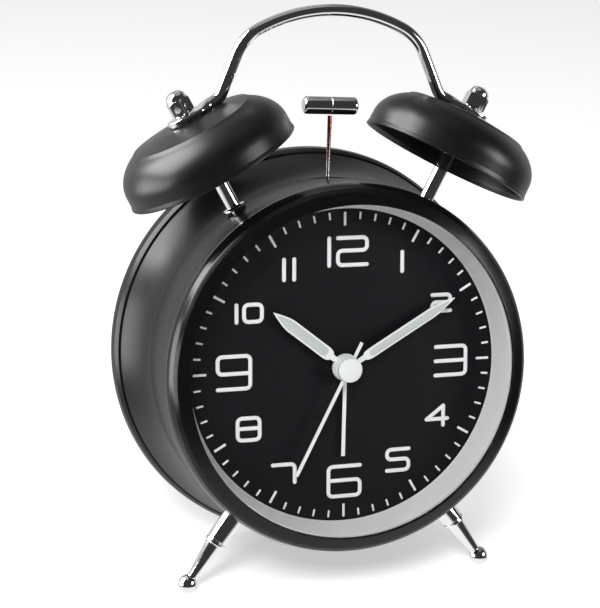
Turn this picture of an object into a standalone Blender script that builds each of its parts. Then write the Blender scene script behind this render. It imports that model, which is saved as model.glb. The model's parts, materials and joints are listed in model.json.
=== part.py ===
"""Twin-bell alarm clock: a round metal case leaning back on two feet and its own rear rim.

Every piece is drawn in the dial frame: X to the right, Y up the dial, Z out of the dial
towards the reader, origin at the centre of the dial's face. One empty, clock_frame, leans
that frame back and stands it on the ground. Sizes below are millimetres; the meshes are metres.
"""

from math import acos, asin, atan2, cos, hypot, pi, radians, sin, sqrt

import bmesh
import bpy
from mathutils import Vector

MM = 0.001
GAP = 0.3                       # clearance between pieces that rest on each other

# Case, front to back (heights are along Z, so the back is negative)
BAND_R = 53.0                   # cylindrical front band of the case
BAND_FRONT, BAND_BACK = 3.4, -16.5
NECK_R, NECK_FRONT = 51.0, 8.4  # front neck that the bezel slides over
FLARE_R, FLARE_BACK = 58.2, -34.3
RIM_R, RIM_BACK = 60.1, -41.9   # rolled rear rim
LEDGE_R = 47.5                  # inward flange that carries the rear cover
LEDGE_FRONT, LEDGE_BACK = -34.8, -36.2
WALL = 1.2
BEZEL_R, LIP_R, LIP_FRONT = 53.4, 47.8, 11.5
LENS_R, LENS_FRONT, LENS_THICK = 49.3, 9.8, 1.0
DIAL_R, DIAL_FACE_R, DIAL_THICK = 49.4, 45.6, 1.2
COVER_R, COVER_FRONT, COVER_BACK = 57.1, -36.5, -38.0

# Each bell, its post, nut and handle tab share one tilted axis, which crosses the dial's
# horizontal centre line BELL_OFFSET out from the middle; heights below are measured from there
BELL_ANGLE, BELL_OFFSET, BELL_Z = radians(28.1), 4.8, -12.7
BELL_R, BELL_MOUTH_R, BELL_HEIGHT, BELL_WALL = 25.5, 25.9, 15.2, 0.9
BELL_SKIRT, BELL_FLAT_R = 4.0, 9.5  # height of the straight skirt, radius of the flat crown
CROWN = 79.6                    # height of a bell's crown on its axis
POST_SEAT = 51.2                # where the post's flange meets the case
POST_R, STUD_R, HOLE_R = 2.1, 1.05, 1.4
TAB_THICK, TAB_WIDTH = 1.7, 8.0
NUT_FLATS, NUT_LENGTH = 6.2, 6.9
ROD_R, ARCH_R, ARCH_TOP = 1.75, 47.0, 100.8
LEG_SLOPE = radians(22.6)       # handle legs lean out by this much
ARCH_TURN = radians(34.0)       # half angle of the arch, up to where a leg's line would meet it
BEND_R = 14.0                   # bend between the arch and a leg
FOOT_ANGLE, FOOT_Z = radians(36.0), -5.8
FOOT_BALL, FOOT_BALL_R, FOOT_FLAT_R = 77.2, 2.7, 1.2

# The clock leans back until the flats under the feet and the rear rim touch one plane
RIM_REST = RIM_BACK + 2.2       # height on the dial axis of the rim's widest turn
FOOT_DROP = sqrt(FOOT_BALL_R ** 2 - FOOT_FLAT_R ** 2)
RISE, REACH = FOOT_BALL * cos(FOOT_ANGLE) - RIM_R, FOOT_Z - RIM_REST
LEAN = asin(FOOT_DROP / hypot(RISE, REACH)) + atan2(RISE, REACH)

# Hands, at about ten past ten and thirty-five seconds, alarm at six
HOUR_ANGLE, MINUTE_ANGLE, SECOND_ANGLE, ALARM_ANGLE = (radians(a) for a in (308.5, 60, 208, 180))
HAND_THICK = 0.45
ALARM_LEVEL, HOUR_LEVEL, MINUTE_LEVEL, SECOND_LEVEL = 0.9, 1.9, 3.0, 4.1
CAP_R, CAP_TOP = 3.55, 6.5

# Movement and its gears (module in mm, so pitch radius is module * teeth / 2)
MOVEMENT_HALF, MOVEMENT_FRONT, MOVEMENT_BACK, LID_THICK = 22.0, -1.5, -13.5, 1.2
MODULE = 0.6
MINUTE_TEETH, MOTION_TEETH, MOTION_LEAVES, HOUR_TEETH = 10, 30, 8, 32
ALARM_TEETH, SETTER_TEETH = 30, 15
MOTION_ANGLE, SETTER_ANGLE = radians(45), radians(210)
KNOB_R, KNOB_FRONT, KNOB_BACK, STEM_R = 5.8, -38.3, -42.6, 1.9

# Hammer
HAMMER_X, HAMMER_PIVOT_Y, HAMMER_Z = -1.3, 38.0, -13.7
HAMMER_REACH, HAMMER_HEAD_R, HAMMER_HEAD_HALF = 35.8, 2.6, 8.1
HAMMER_REST = radians(-2.0)     # the hammer idles leaning a little to the right
HAMMER_ROD_R, SLOT_LENGTH, SLOT_WIDTH = 0.65, 12.4, 2.4
MOTOR_Y, MOTOR_R, CRANK_THROW = 29.5, 6.0, 1.2

# Back: battery bay, light button and alarm switch
BATTERY_R, BATTERY_HALF, BATTERY_Y, BATTERY_Z = 7.25, 25.25, -24.0, -28.0
BAY_HALF_X, BAY_HALF_Y = 29.0, 8.5
SCREW_R, SCREW_CIRCLE = 1.1, 50.0
BUTTON_AT, BUTTON_R = (-24.0, 30.0), 5.2
SWITCH_AT, SWITCH_SLOT = (24.0, 30.0), (4.8, 12.6)


def clear_scene():
    for obj in list(bpy.data.objects):
        bpy.data.objects.remove(obj)


def material(name, colour, roughness, metallic=0.0, alpha=1.0):
    made = bpy.data.materials.new(name)
    made.use_nodes = True
    shader = made.node_tree.nodes["Principled BSDF"]
    shader.inputs["Base Color"].default_value = (*colour, 1.0)
    shader.inputs["Roughness"].default_value = roughness
    shader.inputs["Metallic"].default_value = metallic
    shader.inputs["Alpha"].default_value = alpha
    return made


def empty(name, at=(0, 0, 0), parent=None):
    made = bpy.data.objects.new(name, None)
    made.empty_display_size = 0.01
    made.location = Vector(at) * MM
    made.parent = parent
    bpy.context.collection.objects.link(made)
    return made


def add(name, bm, look, at=(0, 0, 0), turn=(0, 0, 0), parent=None, smooth=35):
    """One named object from a bmesh drawn in millimetres."""
    bmesh.ops.remove_doubles(bm, verts=bm.verts, dist=1e-4)
    bmesh.ops.recalc_face_normals(bm, faces=bm.faces)
    bmesh.ops.scale(bm, vec=(MM, MM, MM), verts=bm.verts)
    mesh = bpy.data.meshes.new(name)
    bm.to_mesh(mesh)
    bm.free()
    mesh.materials.append(look)
    mesh.shade_smooth()
    mesh.set_sharp_from_angle(angle=radians(smooth))
    obj = bpy.data.objects.new(name, mesh)
    obj.location = Vector(at) * MM
    obj.rotation_euler = turn
    obj.parent = parent or CLOCK
    bpy.context.collection.objects.link(obj)
    return obj


def cutter(name, bm, at=(0, 0, 0), turn=(0, 0, 0), parent=None):
    obj = add(name, bm, LOOKS["cutter"], at, turn, parent)
    obj.hide_render = True
    obj.display_type = "WIRE"
    return obj


def boolean(obj, other, operation="DIFFERENCE"):
    change = obj.modifiers.new(other.name, "BOOLEAN")
    change.operation = operation
    change.solver = "EXACT"
    change.object = other


# ---- shapes, drawn in millimetres ----

def lathe(profile, segments):
    """A profile of (radius, height) turned about Z; one that stays off the axis is a closed ring."""
    bm = bmesh.new()
    verts = [bm.verts.new((r, 0, z)) for r, z in profile]
    edges = [bm.edges.new(pair) for pair in zip(verts, verts[1:])]
    if profile[0][0] > 0:
        edges.append(bm.edges.new((verts[-1], verts[0])))
    bmesh.ops.spin(bm, geom=verts + edges, axis=(0, 0, 1), cent=(0, 0, 0), angle=2 * pi,
                   steps=segments, use_merge=True)
    bmesh.ops.remove_doubles(bm, verts=bm.verts, dist=1e-4)
    return bm


def plate(outline, low, high):
    """A flat outline of (x, y) points raised from one height to another."""
    bm = bmesh.new()
    face = bm.faces.new([bm.verts.new((x, y, low)) for x, y in outline])
    raised = bmesh.ops.extrude_face_region(bm, geom=[face])["geom"]
    bmesh.ops.translate(bm, vec=(0, 0, high - low),
                        verts=[v for v in raised if isinstance(v, bmesh.types.BMVert)])
    return bm


def box(low, high):
    (x0, y0, z0), (x1, y1, z1) = low, high
    return plate([(x0, y0), (x1, y0), (x1, y1), (x0, y1)], z0, z1)


def rod(radius, low, high, segments=20):
    return lathe([(0, low), (radius, low), (radius, high), (0, high)], segments)


def tube(inner, outer, low, high, segments=24):
    return lathe([(inner, low), (outer, low), (outer, high), (inner, high)], segments)


def ring_points(radius, count, start=0.0):
    return [(radius * cos(start + 2 * pi * i / count), radius * sin(start + 2 * pi * i / count))
            for i in range(count)]


def arc(centre, radius, start, end, steps):
    return [(centre[0] + radius * cos(start + (end - start) * i / steps),
             centre[1] + radius * sin(start + (end - start) * i / steps)) for i in range(steps + 1)]


def hex_points(flats):
    return ring_points(flats / 2 / cos(pi / 6), 6)


def gear_points(teeth, tooth_at):
    """Plain straight-sided teeth, thin enough never to bind, one of them centred on tooth_at."""
    pitch = MODULE * teeth / 2
    points = []
    for i in range(teeth):
        middle = tooth_at + 2 * pi * i / teeth
        for radius, half in ((pitch - 1.2 * MODULE, 0.33), (pitch + 0.9 * MODULE, 0.12),
                             (pitch + 0.9 * MODULE, -0.12), (pitch - 1.2 * MODULE, -0.33)):
            turn = middle - half * 2 * pi / teeth
            points.append((radius * cos(turn), radius * sin(turn)))
    return points


def holed(obj, radius, low, high, at=(0, 0)):
    """Drill a round hole along the object's own Z."""
    drill = cutter(obj.name + "_hole", rod(radius, low - 1, high + 1), (*at, 0))
    drill.parent = obj
    boolean(obj, drill)
    return obj


def radial(angle, side, distance, z, offset=0.0):
    """A point on a spoke of the case, angle measured from straight up."""
    return (side * (offset + distance * sin(angle)), distance * cos(angle), z)


def radial_turn(angle, side):
    """Turns a piece's own Z outwards along that spoke."""
    return (-pi / 2, 0, -side * angle)


# ---- case, glass and dial ----

def flare(offset=0.0, steps=4):
    """The hollow sweep from the front band out to the rear rim, front to back."""
    points = []
    for i in range(steps + 1):
        t = i / steps
        points.append((BAND_R + (FLARE_R - BAND_R) * t ** 1.6 - offset,
                       BAND_BACK + (FLARE_BACK - BAND_BACK) * t))
    return points


def make_case():
    inner = [(r, z) for r, z in reversed(flare(WALL)) if z > LEDGE_FRONT + 0.3]
    profile = [(NECK_R, NECK_FRONT), (NECK_R, BAND_FRONT), (BAND_R, BAND_FRONT)] + flare()
    profile += [(FLARE_R + 0.7, FLARE_BACK - 0.6), (RIM_R, RIM_REST), (RIM_R - 0.4, RIM_BACK + 0.6),
                (RIM_R - 1.3, RIM_BACK), (RIM_R - 2.3, RIM_BACK + 0.5), (RIM_R - 2.6, LEDGE_BACK),
                (LEDGE_R, LEDGE_BACK), (LEDGE_R, LEDGE_FRONT), (FLARE_R - WALL, LEDGE_FRONT)]
    profile += inner
    profile += [(BAND_R - WALL, BAND_FRONT - WALL), (NECK_R - WALL, BAND_FRONT - WALL),
                (NECK_R - WALL, NECK_FRONT)]
    case = add("case_drum", lathe(profile, 48), LOOKS["case"])
    slot = cutter("hammer_slot", box((-SLOT_LENGTH / 2, 45, -SLOT_WIDTH / 2),
                                     (SLOT_LENGTH / 2, 62, SLOT_WIDTH / 2)), (0, 0, HAMMER_Z))
    boolean(case, slot)
    for side, name in ((-1, "left"), (1, "right")):
        for angle, offset, z, what in ((BELL_ANGLE, BELL_OFFSET, BELL_Z, "post"),
                                       (pi - FOOT_ANGLE, 0, FOOT_Z, "foot")):
            hole = cutter(f"{name}_{what}_hole", rod(HOLE_R + GAP, 44, 60, 12),
                          (side * offset, 0, z), radial_turn(angle, side))
            boolean(case, hole)
    for i, (x, y) in enumerate(screw_places()):
        boolean(case, cutter(f"ledge_hole_{i + 1}", rod(SCREW_R + GAP, -38, -33, 10), (x, y, 0)))


def make_bezel():
    profile = [(LIP_R, LIP_FRONT), (BEZEL_R - 2.2, LIP_FRONT - 1.7), (BEZEL_R - 1.2, LIP_FRONT - 2.6),
               (BEZEL_R - 0.4, LIP_FRONT - 4.6), (BEZEL_R, BAND_FRONT + GAP),
               (NECK_R + GAP, BAND_FRONT + GAP), (NECK_R + GAP, NECK_FRONT + GAP),
               (LENS_R + GAP, NECK_FRONT + GAP), (LENS_R + GAP, LENS_FRONT + GAP),
               (LIP_R, LENS_FRONT + GAP)]
    add("bezel_ring", lathe(profile, 48), LOOKS["bezel"])


def make_front():
    lens_back = LENS_FRONT - LENS_THICK
    add("lens", lathe([(0, LENS_FRONT), (LENS_R, LENS_FRONT), (LENS_R, lens_back), (0, lens_back)], 48),
        LOOKS["lens"])
    top = lens_back - GAP
    add("reflector_ring", lathe([(LIP_R, top), (DIAL_R, top), (DIAL_R, GAP), (DIAL_FACE_R, GAP)], 48),
        LOOKS["reflector"])
    add("dial_plate", tube(3.2, DIAL_R, -DIAL_THICK, 0, 48), LOOKS["dial"])


# ---- bells, handle and feet ----

def bell_profile(offset):
    """Outer (or, offset inwards, inner) outline of a bell from the mouth up to the crown hole."""
    height, shoulder = BELL_HEIGHT - offset, BELL_R - offset - BELL_FLAT_R
    points = [(BELL_MOUTH_R - offset, 0)]
    for i in range(9):
        turn = i / 8 * pi / 2
        points.append((BELL_FLAT_R + shoulder * cos(turn), BELL_SKIRT + (height - BELL_SKIRT) * sin(turn)))
    points.append((HOLE_R, height))
    return points


def make_bell(name, side):
    profile = bell_profile(0) + list(reversed(bell_profile(BELL_WALL)))
    mouth = CROWN - BELL_HEIGHT
    add(name + "_bell", lathe(profile, 32), LOOKS["bell"],
        radial(BELL_ANGLE, side, mouth, BELL_Z, BELL_OFFSET), radial_turn(BELL_ANGLE, side))


def make_post(name, side):
    flange, shoulder = POST_SEAT, CROWN - BELL_WALL - GAP
    profile = [(0, 45.6), (HOLE_R, 45.6), (HOLE_R, flange), (3.3, flange), (3.3, flange + 0.9),
               (POST_R, flange + 1.3), (POST_R, shoulder), (STUD_R, shoulder), (STUD_R, CROWN + 6.2),
               (0, CROWN + 6.2)]
    place = dict(at=(side * BELL_OFFSET, 0, BELL_Z), turn=radial_turn(BELL_ANGLE, side))
    add(name + "_bell_post", lathe(profile, 16), LOOKS["chrome"], **place)
    inside = POST_SEAT - WALL - 1.2
    nut = add(name + "_bell_nut", plate(hex_points(5.5), inside - 2.2, inside), LOOKS["steel"], **place)
    holed(nut, HOLE_R + GAP, inside - 2.2, inside)
    low = CROWN + TAB_THICK + 2 * GAP
    neck, dome = low + 3.4, NUT_FLATS / 2
    cap = plate(hex_points(NUT_FLATS), low, neck)
    cap_nut = add(name + "_cap_nut", cap, LOOKS["chrome"], **place)
    round_top = [(dome * cos(i / 5 * pi / 2) - (0.02 if i == 0 else 0),
                  neck - 0.2 + (NUT_LENGTH - 3.2) * sin(i / 5 * pi / 2)) for i in range(5)]
    dome_shape = cutter(name + "_cap_dome", lathe([(0, neck - 0.6), (dome - 0.02, neck - 0.6)] + round_top
                                                  + [(0, low + NUT_LENGTH)], 18), **place)
    boolean(cap_nut, dome_shape, "UNION")
    blind = cutter(name + "_cap_thread", rod(HOLE_R, low - 1, CROWN + 6.6, 12), **place)
    boolean(cap_nut, blind)


def handle_path():
    """Centre line of the right half, (x, y), from the top of the arch to the end of the tab."""
    centre_y = ARCH_TOP - ARCH_R
    corner = Vector((ARCH_R * sin(ARCH_TURN), centre_y + ARCH_R * cos(ARCH_TURN)))
    down = Vector((sin(LEG_SLOPE), -cos(LEG_SLOPE)))
    inward = Vector((-cos(LEG_SLOPE), -sin(LEG_SLOPE)))
    # The bend's centre is BEND_R inside the leg's line and ARCH_R - BEND_R from the arch's centre.
    away = corner + inward * BEND_R - Vector((0, centre_y))
    slide = -away.dot(down) - sqrt(away.dot(down) ** 2 - away.dot(away) + (ARCH_R - BEND_R) ** 2)
    middle = away + down * slide
    joins = atan2(middle.x, middle.y)
    points = [(ARCH_R * sin(joins * i / 8), centre_y + ARCH_R * cos(joins * i / 8)) for i in range(8)]
    for i in range(5):
        turn = joins + (pi / 2 - LEG_SLOPE - joins) * i / 4
        points.append((middle.x + BEND_R * sin(turn), centre_y + middle.y + BEND_R * cos(turn)))
    out = Vector((cos(BELL_ANGLE), -sin(BELL_ANGLE)))
    axis = Vector((sin(BELL_ANGLE), cos(BELL_ANGLE)))
    base = Vector((BELL_OFFSET, 0))
    level = CROWN + GAP + TAB_THICK / 2
    foot = corner + down * ((level - (corner - base).dot(axis)) / down.dot(axis))
    points += [tuple(corner.lerp(foot, t)) for t in (0.45, 0.65, 0.84)]
    points += [tuple(foot + (down * (-1.6) * (1 - t) + out * 1.6 * t)) for t in (0.3, 0.7)]
    start = (foot - base).dot(out)
    points += [tuple(base + axis * level + out * reach)
               for reach in (start + 2.6, -5.5, 0.0, 1.6, 3.6, 4.8, 5.4, 5.6)]
    return points


def handle_section(point):
    """Half width across the dial and half thickness of the bar at a point of its centre line."""
    x = point[0] - BELL_OFFSET
    out = x * cos(BELL_ANGLE) - point[1] * sin(BELL_ANGLE)
    along = x * sin(BELL_ANGLE) + point[1] * cos(BELL_ANGLE)
    flat = min(max((out + 11.5) / 4.5, 0), 1) if along < CROWN + 4 else 0
    half_width = ROD_R + (TAB_WIDTH / 2 - ROD_R) * flat
    if out > 1.6:
        half_width = max(sqrt(max((TAB_WIDTH / 2) ** 2 - (out - 1.6) ** 2, 0)), 0.3)
    return half_width, ROD_R + (TAB_THICK / 2 - ROD_R) * flat


def make_handle():
    right = handle_path()
    path = [(-x, y) for x, y in reversed(right[1:])] + right
    bm = bmesh.new()
    rings = []
    for i, (x, y) in enumerate(path):
        ahead, behind = Vector(path[min(i + 1, len(path) - 1)]), Vector(path[max(i - 1, 0)])
        along = (ahead - behind).normalized()
        across = Vector((-along.y, along.x))
        width, thick = handle_section((abs(x), y))
        ring = []
        for k in range(12):
            turn = 2 * pi * k / 12
            shift = across * thick * cos(turn)
            ring.append(bm.verts.new((x + shift.x, y + shift.y, width * sin(turn))))
        rings.append(ring)
    for first, second in zip(rings, rings[1:]):
        for k in range(12):
            bm.faces.new((first[k], first[(k + 1) % 12], second[(k + 1) % 12], second[k]))
    bm.faces.new(rings[0])
    bm.faces.new(rings[-1])
    handle = add("carry_handle", bm, LOOKS["chrome"], (0, 0, BELL_Z))
    for side, name in ((-1, "left"), (1, "right")):
        hole = cutter(f"{name}_tab_hole", rod(HOLE_R, CROWN - 2, CROWN + 5, 14),
                      (side * BELL_OFFSET, 0, 0), radial_turn(BELL_ANGLE, side), handle)
        boolean(handle, hole)


def make_foot(name, side):
    """Turned leg on a stud, ending in a ball with a small flat that stands level on the ground."""
    angle = pi - FOOT_ANGLE
    collar = BAND_R + GAP
    neck = acos(1.6 / FOOT_BALL_R)
    profile = [(0, 48.6), (HOLE_R, 48.6), (HOLE_R, collar), (3.2, collar), (3.2, 63.1), (2.7, 63.5),
               (1.6, FOOT_BALL - FOOT_BALL_R * sin(neck))]
    profile += [(FOOT_BALL_R * cos(t), FOOT_BALL + FOOT_BALL_R * sin(t))
                for t in (-neck + (neck + pi / 2) * i / 7 for i in range(1, 7))]
    profile += [(0, FOOT_BALL + FOOT_BALL_R)]
    place = dict(at=(0, 0, FOOT_Z), turn=radial_turn(angle, side))
    foot = add(name + "_foot", lathe(profile, 16), LOOKS["chrome"], **place)
    ball = Vector(radial(angle, side, FOOT_BALL, FOOT_Z))
    under = cutter(name + "_foot_flat", box((-5, -5, -9), (5, 5, -FOOT_DROP)), ball, (LEAN - pi / 2, 0, 0))
    boolean(foot, under)
    inside = BAND_R - WALL - 0.5
    nut = add(name + "_foot_nut", plate(hex_points(5.5), inside - 2.2, inside), LOOKS["steel"], **place)
    holed(nut, HOLE_R + GAP, inside - 2.2, inside)


# ---- hands and gears ----

def spear(length, width, neck, hub, waist, shoulder, tip):
    """A hand pointing up: round hub, narrow neck, rounded shoulders and a long point."""
    half, thin = width / 2, neck / 2
    open_by = atan2(thin, hub)
    outline = arc((0, 0), hub, pi / 2 + open_by, 5 * pi / 2 - open_by, 20)
    side = [(thin, waist)] + [(half - (half - thin) * (1 - sin(t)), waist + shoulder * (1 - cos(t)))
                              for t in (pi / 2 * i / 4 for i in range(1, 5))]
    side += [(half, length - tip), (half * 0.55, length - tip * 0.42), (0.12, length)]
    return outline + side + [(-x, y) for x, y in reversed(side)]


def baton(length, width, tail, hub):
    """A straight thin hand pointing up, with an optional tail below its hub."""
    half = width / 2
    open_by = atan2(half, hub)
    points = arc((0, 0), hub, pi / 2 + open_by, 3 * pi / 2 - open_by, 8)
    if tail:
        points += [(-half, -tail), (half, -tail)]
    points += arc((0, 0), hub, -pi / 2 + open_by, pi / 2 - open_by, 8)
    return points + [(half, length), (-half, length)]


def hand(name, outline, level, angle, bore):
    made = add(name, plate(outline, level, level + HAND_THICK), LOOKS["hands"], turn=(0, 0, -angle))
    return holed(made, bore, level, level + HAND_THICK)


def gear(name, teeth, tooth_at, bore, low, high, at=(0, 0, 0)):
    made = add(name, plate(gear_points(teeth, tooth_at), low, high), LOOKS["gear"], at)
    return holed(made, bore, low, high)


def make_hands():
    hand("alarm_hand", baton(26.2, 1.1, 0, 3.95), ALARM_LEVEL, ALARM_ANGLE, 3.05)
    hand("hour_hand", spear(27.6, 3.7, 1.7, 3.9, 5.6, 2.2, 6.5), HOUR_LEVEL, HOUR_ANGLE, 2.35)
    hand("minute_hand", spear(37.6, 3.0, 1.5, 3.7, 6.0, 2.2, 8.0), MINUTE_LEVEL, MINUTE_ANGLE, 1.6)
    hand("second_hand", baton(34.0, 1.0, 8.5, 3.4), SECOND_LEVEL, SECOND_ANGLE, 0.85)
    base, edge = SECOND_LEVEL + HAND_THICK + GAP, 0.7
    dome = [(CAP_R - edge + edge * cos(t), CAP_TOP - edge + edge * sin(t) * 0.8)
            for t in (pi / 2 * i / 3 for i in range(4))]
    add("hand_cap", lathe([(0, base), (CAP_R, base)] + dome + [(0, CAP_TOP)], 20), LOOKS["hands"])
    top = SECOND_LEVEL + HAND_THICK
    add("second_arbor", rod(0.55, -12.6, top, 12), LOOKS["steel"])
    add("minute_pipe", tube(0.85, 1.3, -12.6, MINUTE_LEVEL + HAND_THICK, 16), LOOKS["brass"])
    add("hour_pipe", tube(1.6, 2.05, -7.0, HOUR_LEVEL + HAND_THICK, 18), LOOKS["gear"])
    add("alarm_pipe", tube(2.35, 2.75, -4.6, ALARM_LEVEL + HAND_THICK, 20), LOOKS["gear"])


def make_gears():
    reach = MODULE * (MINUTE_TEETH + MOTION_TEETH) / 2
    motion_at = (reach * cos(MOTION_ANGLE), reach * sin(MOTION_ANGLE), 0)
    back = MOTION_ANGLE + pi
    gear("minute_pinion", MINUTE_TEETH, MOTION_ANGLE, 1.6, -10.6, -8.6)
    gear("motion_wheel", MOTION_TEETH, back + pi / MOTION_TEETH, 1.0, -10.2, -9.2, motion_at)
    gear("motion_pinion", MOTION_LEAVES, back, 1.0, -8.6, -5.6, motion_at)
    gear("hour_wheel", HOUR_TEETH, MOTION_ANGLE + pi / HOUR_TEETH, 2.35, -6.8, -5.8)
    add("motion_staff", rod(0.7, -13.2, -3.2, 12), LOOKS["steel"], motion_at)
    reach = MODULE * (ALARM_TEETH + SETTER_TEETH) / 2
    setter_at = (reach * cos(SETTER_ANGLE), reach * sin(SETTER_ANGLE), 0)
    gear("alarm_wheel", ALARM_TEETH, SETTER_ANGLE + pi / ALARM_TEETH, 3.05, -4.4, -3.4)
    gear("alarm_set_pinion", SETTER_TEETH, SETTER_ANGLE - pi, 1.5, -4.9, -3.1, setter_at)
    return setter_at


def make_movement(setter_at):
    half, wall = MOVEMENT_HALF, WALL
    case = add("movement_case", box((-half, -half, MOVEMENT_BACK), (half, half, MOVEMENT_FRONT)),
               LOOKS["movement"])
    inside = cutter("movement_inside", box((wall - half, wall - half, MOVEMENT_BACK - 5),
                                           (half - wall, half - wall, MOVEMENT_FRONT - wall)))
    boolean(case, inside)
    holed(case, 3.05, MOVEMENT_BACK, MOVEMENT_FRONT)
    low = MOVEMENT_BACK - GAP - LID_THICK
    lid = add("movement_lid", box((-half, -half, low), (half, half, low + LID_THICK)), LOOKS["movement"])
    holed(lid, STEM_R + 0.4, low, low + LID_THICK)
    drill = cutter("lid_setter_hole", rod(STEM_R + 0.4, low - 1, low + LID_THICK + 1), (*setter_at[:2], 0))
    boolean(lid, drill)


def knob(name, at, stem_top, tip_r, shoulder):
    """A fluted finger knob on a long stem that reaches forward to the movement."""
    flutes = 18
    points = [(r * cos(turn), r * sin(turn)) for i in range(flutes)
              for r, turn in ((KNOB_R, 2 * pi * (i - 0.28) / flutes), (KNOB_R, 2 * pi * (i + 0.28) / flutes),
                              (KNOB_R - 0.45, 2 * pi * (i + 0.5) / flutes))]
    made = add(name, plate(points, KNOB_BACK, KNOB_FRONT), LOOKS["knob"], at)
    stem = cutter(name + "_stem", lathe([(0, KNOB_FRONT - 1), (STEM_R, KNOB_FRONT - 1), (STEM_R, shoulder),
                                         (tip_r, shoulder), (tip_r, stem_top), (0, stem_top)], 14), at)
    boolean(made, stem, "UNION")


# ---- hammer ----

def make_hammer():
    pivot = empty("hammer_pivot", (HAMMER_X, HAMMER_PIVOT_Y, HAMMER_Z), CLOCK)
    pivot.rotation_euler.z = HAMMER_REST
    half, r = HAMMER_HEAD_HALF, HAMMER_HEAD_R
    head = [(0, -half), (r * 0.6, -half + 0.15), (r * 0.9, -half + 0.6), (r, -half + 1.3),
            (r, half - 1.3), (r * 0.9, half - 0.6), (r * 0.6, half - 0.15), (0, half)]
    add("hammer_head", lathe(head, 18), LOOKS["chrome"], (0, HAMMER_REACH, 0), (0, pi / 2, 0), pivot)
    top = HAMMER_REACH - r - GAP
    stem = lathe([(0, 3.8), (0.5, 3.8), (0.5, 15), (HAMMER_ROD_R, top), (0, top)], 10)
    add("hammer_rod", stem, LOOKS["rod"], turn=(-pi / 2, 0, 0), parent=pivot)
    outline = [(-2.4, 3.4), (-2.4, -6.0), (-3.4, -7.0), (-3.4, -10.6), (-2.2, -10.6), (-2.2, -7.4),
               (2.2, -7.4), (2.2, -10.6), (3.4, -10.6), (3.4, -7.0), (2.4, -6.0), (2.4, 3.4)]
    lever = add("hammer_lever", plate(list(reversed(outline)), -0.5, 0.5), LOOKS["steel"], parent=pivot)
    holed(lever, 1.15, -0.5, 0.5)

    plate_z = HAMMER_Z + 2.6
    bracket = add("hammer_bracket", box((-9.6, 24.0, plate_z), (9.6, 48.6, plate_z + 1.0)), LOOKS["steel"])
    for side, name in ((-1, "left"), (1, "right")):
        low, high = sorted((side * 8.4, side * 9.6))
        arm = cutter(name + "_bracket_arm", box((low, 24.0, -30.0), (high, 35.0, plate_z + 0.5)))
        boolean(bracket, arm, "UNION")
    pin = cutter("bracket_pin", rod(0.9, HAMMER_Z - 2.0, plate_z + 0.5, 12), (HAMMER_X, HAMMER_PIVOT_Y, 0))
    boolean(bracket, pin, "UNION")

    motor = lathe([(0, -33.4), (1.6, -33.4), (1.6, -32.6), (MOTOR_R, -32.6), (MOTOR_R, -18.2),
                   (2.2, -18.2), (2.2, -17.6), (0, -17.6)], 20)
    add("hammer_motor", motor, LOOKS["steel"], (HAMMER_X, MOTOR_Y, 0))
    crank = add("motor_crank", rod(2.6, -17.2, -16.2, 20), LOOKS["brass"], (HAMMER_X, MOTOR_Y, 0))
    pin = cutter("crank_pin", rod(0.6, -16.6, -14.8, 10), (0, CRANK_THROW, 0), parent=crank)
    boolean(crank, pin, "UNION")


# ---- back of the clock ----

def screw_places():
    return ring_points(SCREW_CIRCLE, 4, pi / 4)


def make_battery():
    end = BATTERY_HALF
    profile = [(0, -end), (BATTERY_R, -end), (BATTERY_R, end - 1.6), (BATTERY_R - 0.6, end - 1.2),
               (2.7, end - 1.2), (2.7, end), (0, end)]
    add("battery", lathe(profile, 24), LOOKS["battery"], (0, BATTERY_Y, BATTERY_Z), (0, pi / 2, 0))
    depth = BATTERY_Z + BATTERY_R + 1.6
    bay = add("battery_bay", box((-BAY_HALF_X - 1.2, BATTERY_Y - BAY_HALF_Y - 1.2, -36.2),
                                 (BAY_HALF_X + 1.2, BATTERY_Y + BAY_HALF_Y + 1.2, depth)), LOOKS["movement"])
    inside = cutter("battery_room", box((-BAY_HALF_X, BATTERY_Y - BAY_HALF_Y, -40),
                                        (BAY_HALF_X, BATTERY_Y + BAY_HALF_Y, depth - 1.2)))
    boolean(bay, inside)
    low, high = BATTERY_HALF + GAP, BAY_HALF_X - GAP
    add("battery_plate", box((low, BATTERY_Y - 4, BATTERY_Z - 4), (low + 0.5, BATTERY_Y + 4, BATTERY_Z + 4)),
        LOOKS["steel"])
    curve = bpy.data.curves.new("battery_spring", "CURVE")
    curve.dimensions = "3D"
    curve.bevel_depth = 0.35 * MM
    curve.bevel_resolution = 1
    curve.use_fill_caps = True
    turns, steps = 3, 36
    spline = curve.splines.new("POLY")
    spline.points.add(steps)
    for i, point in enumerate(spline.points):
        turn, t = 2 * pi * turns * i / steps, i / steps
        radius = 3.4 - 1.2 * t
        place = (-high + 0.4 + (high - low - 0.8) * t,
                 BATTERY_Y + radius * cos(turn), BATTERY_Z + radius * sin(turn))
        point.co = (*(Vector(place) * MM), 1)
    spring = bpy.data.objects.new("battery_spring", curve)
    curve.materials.append(LOOKS["steel"])
    spring.parent = CLOCK
    bpy.context.collection.objects.link(spring)


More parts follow.
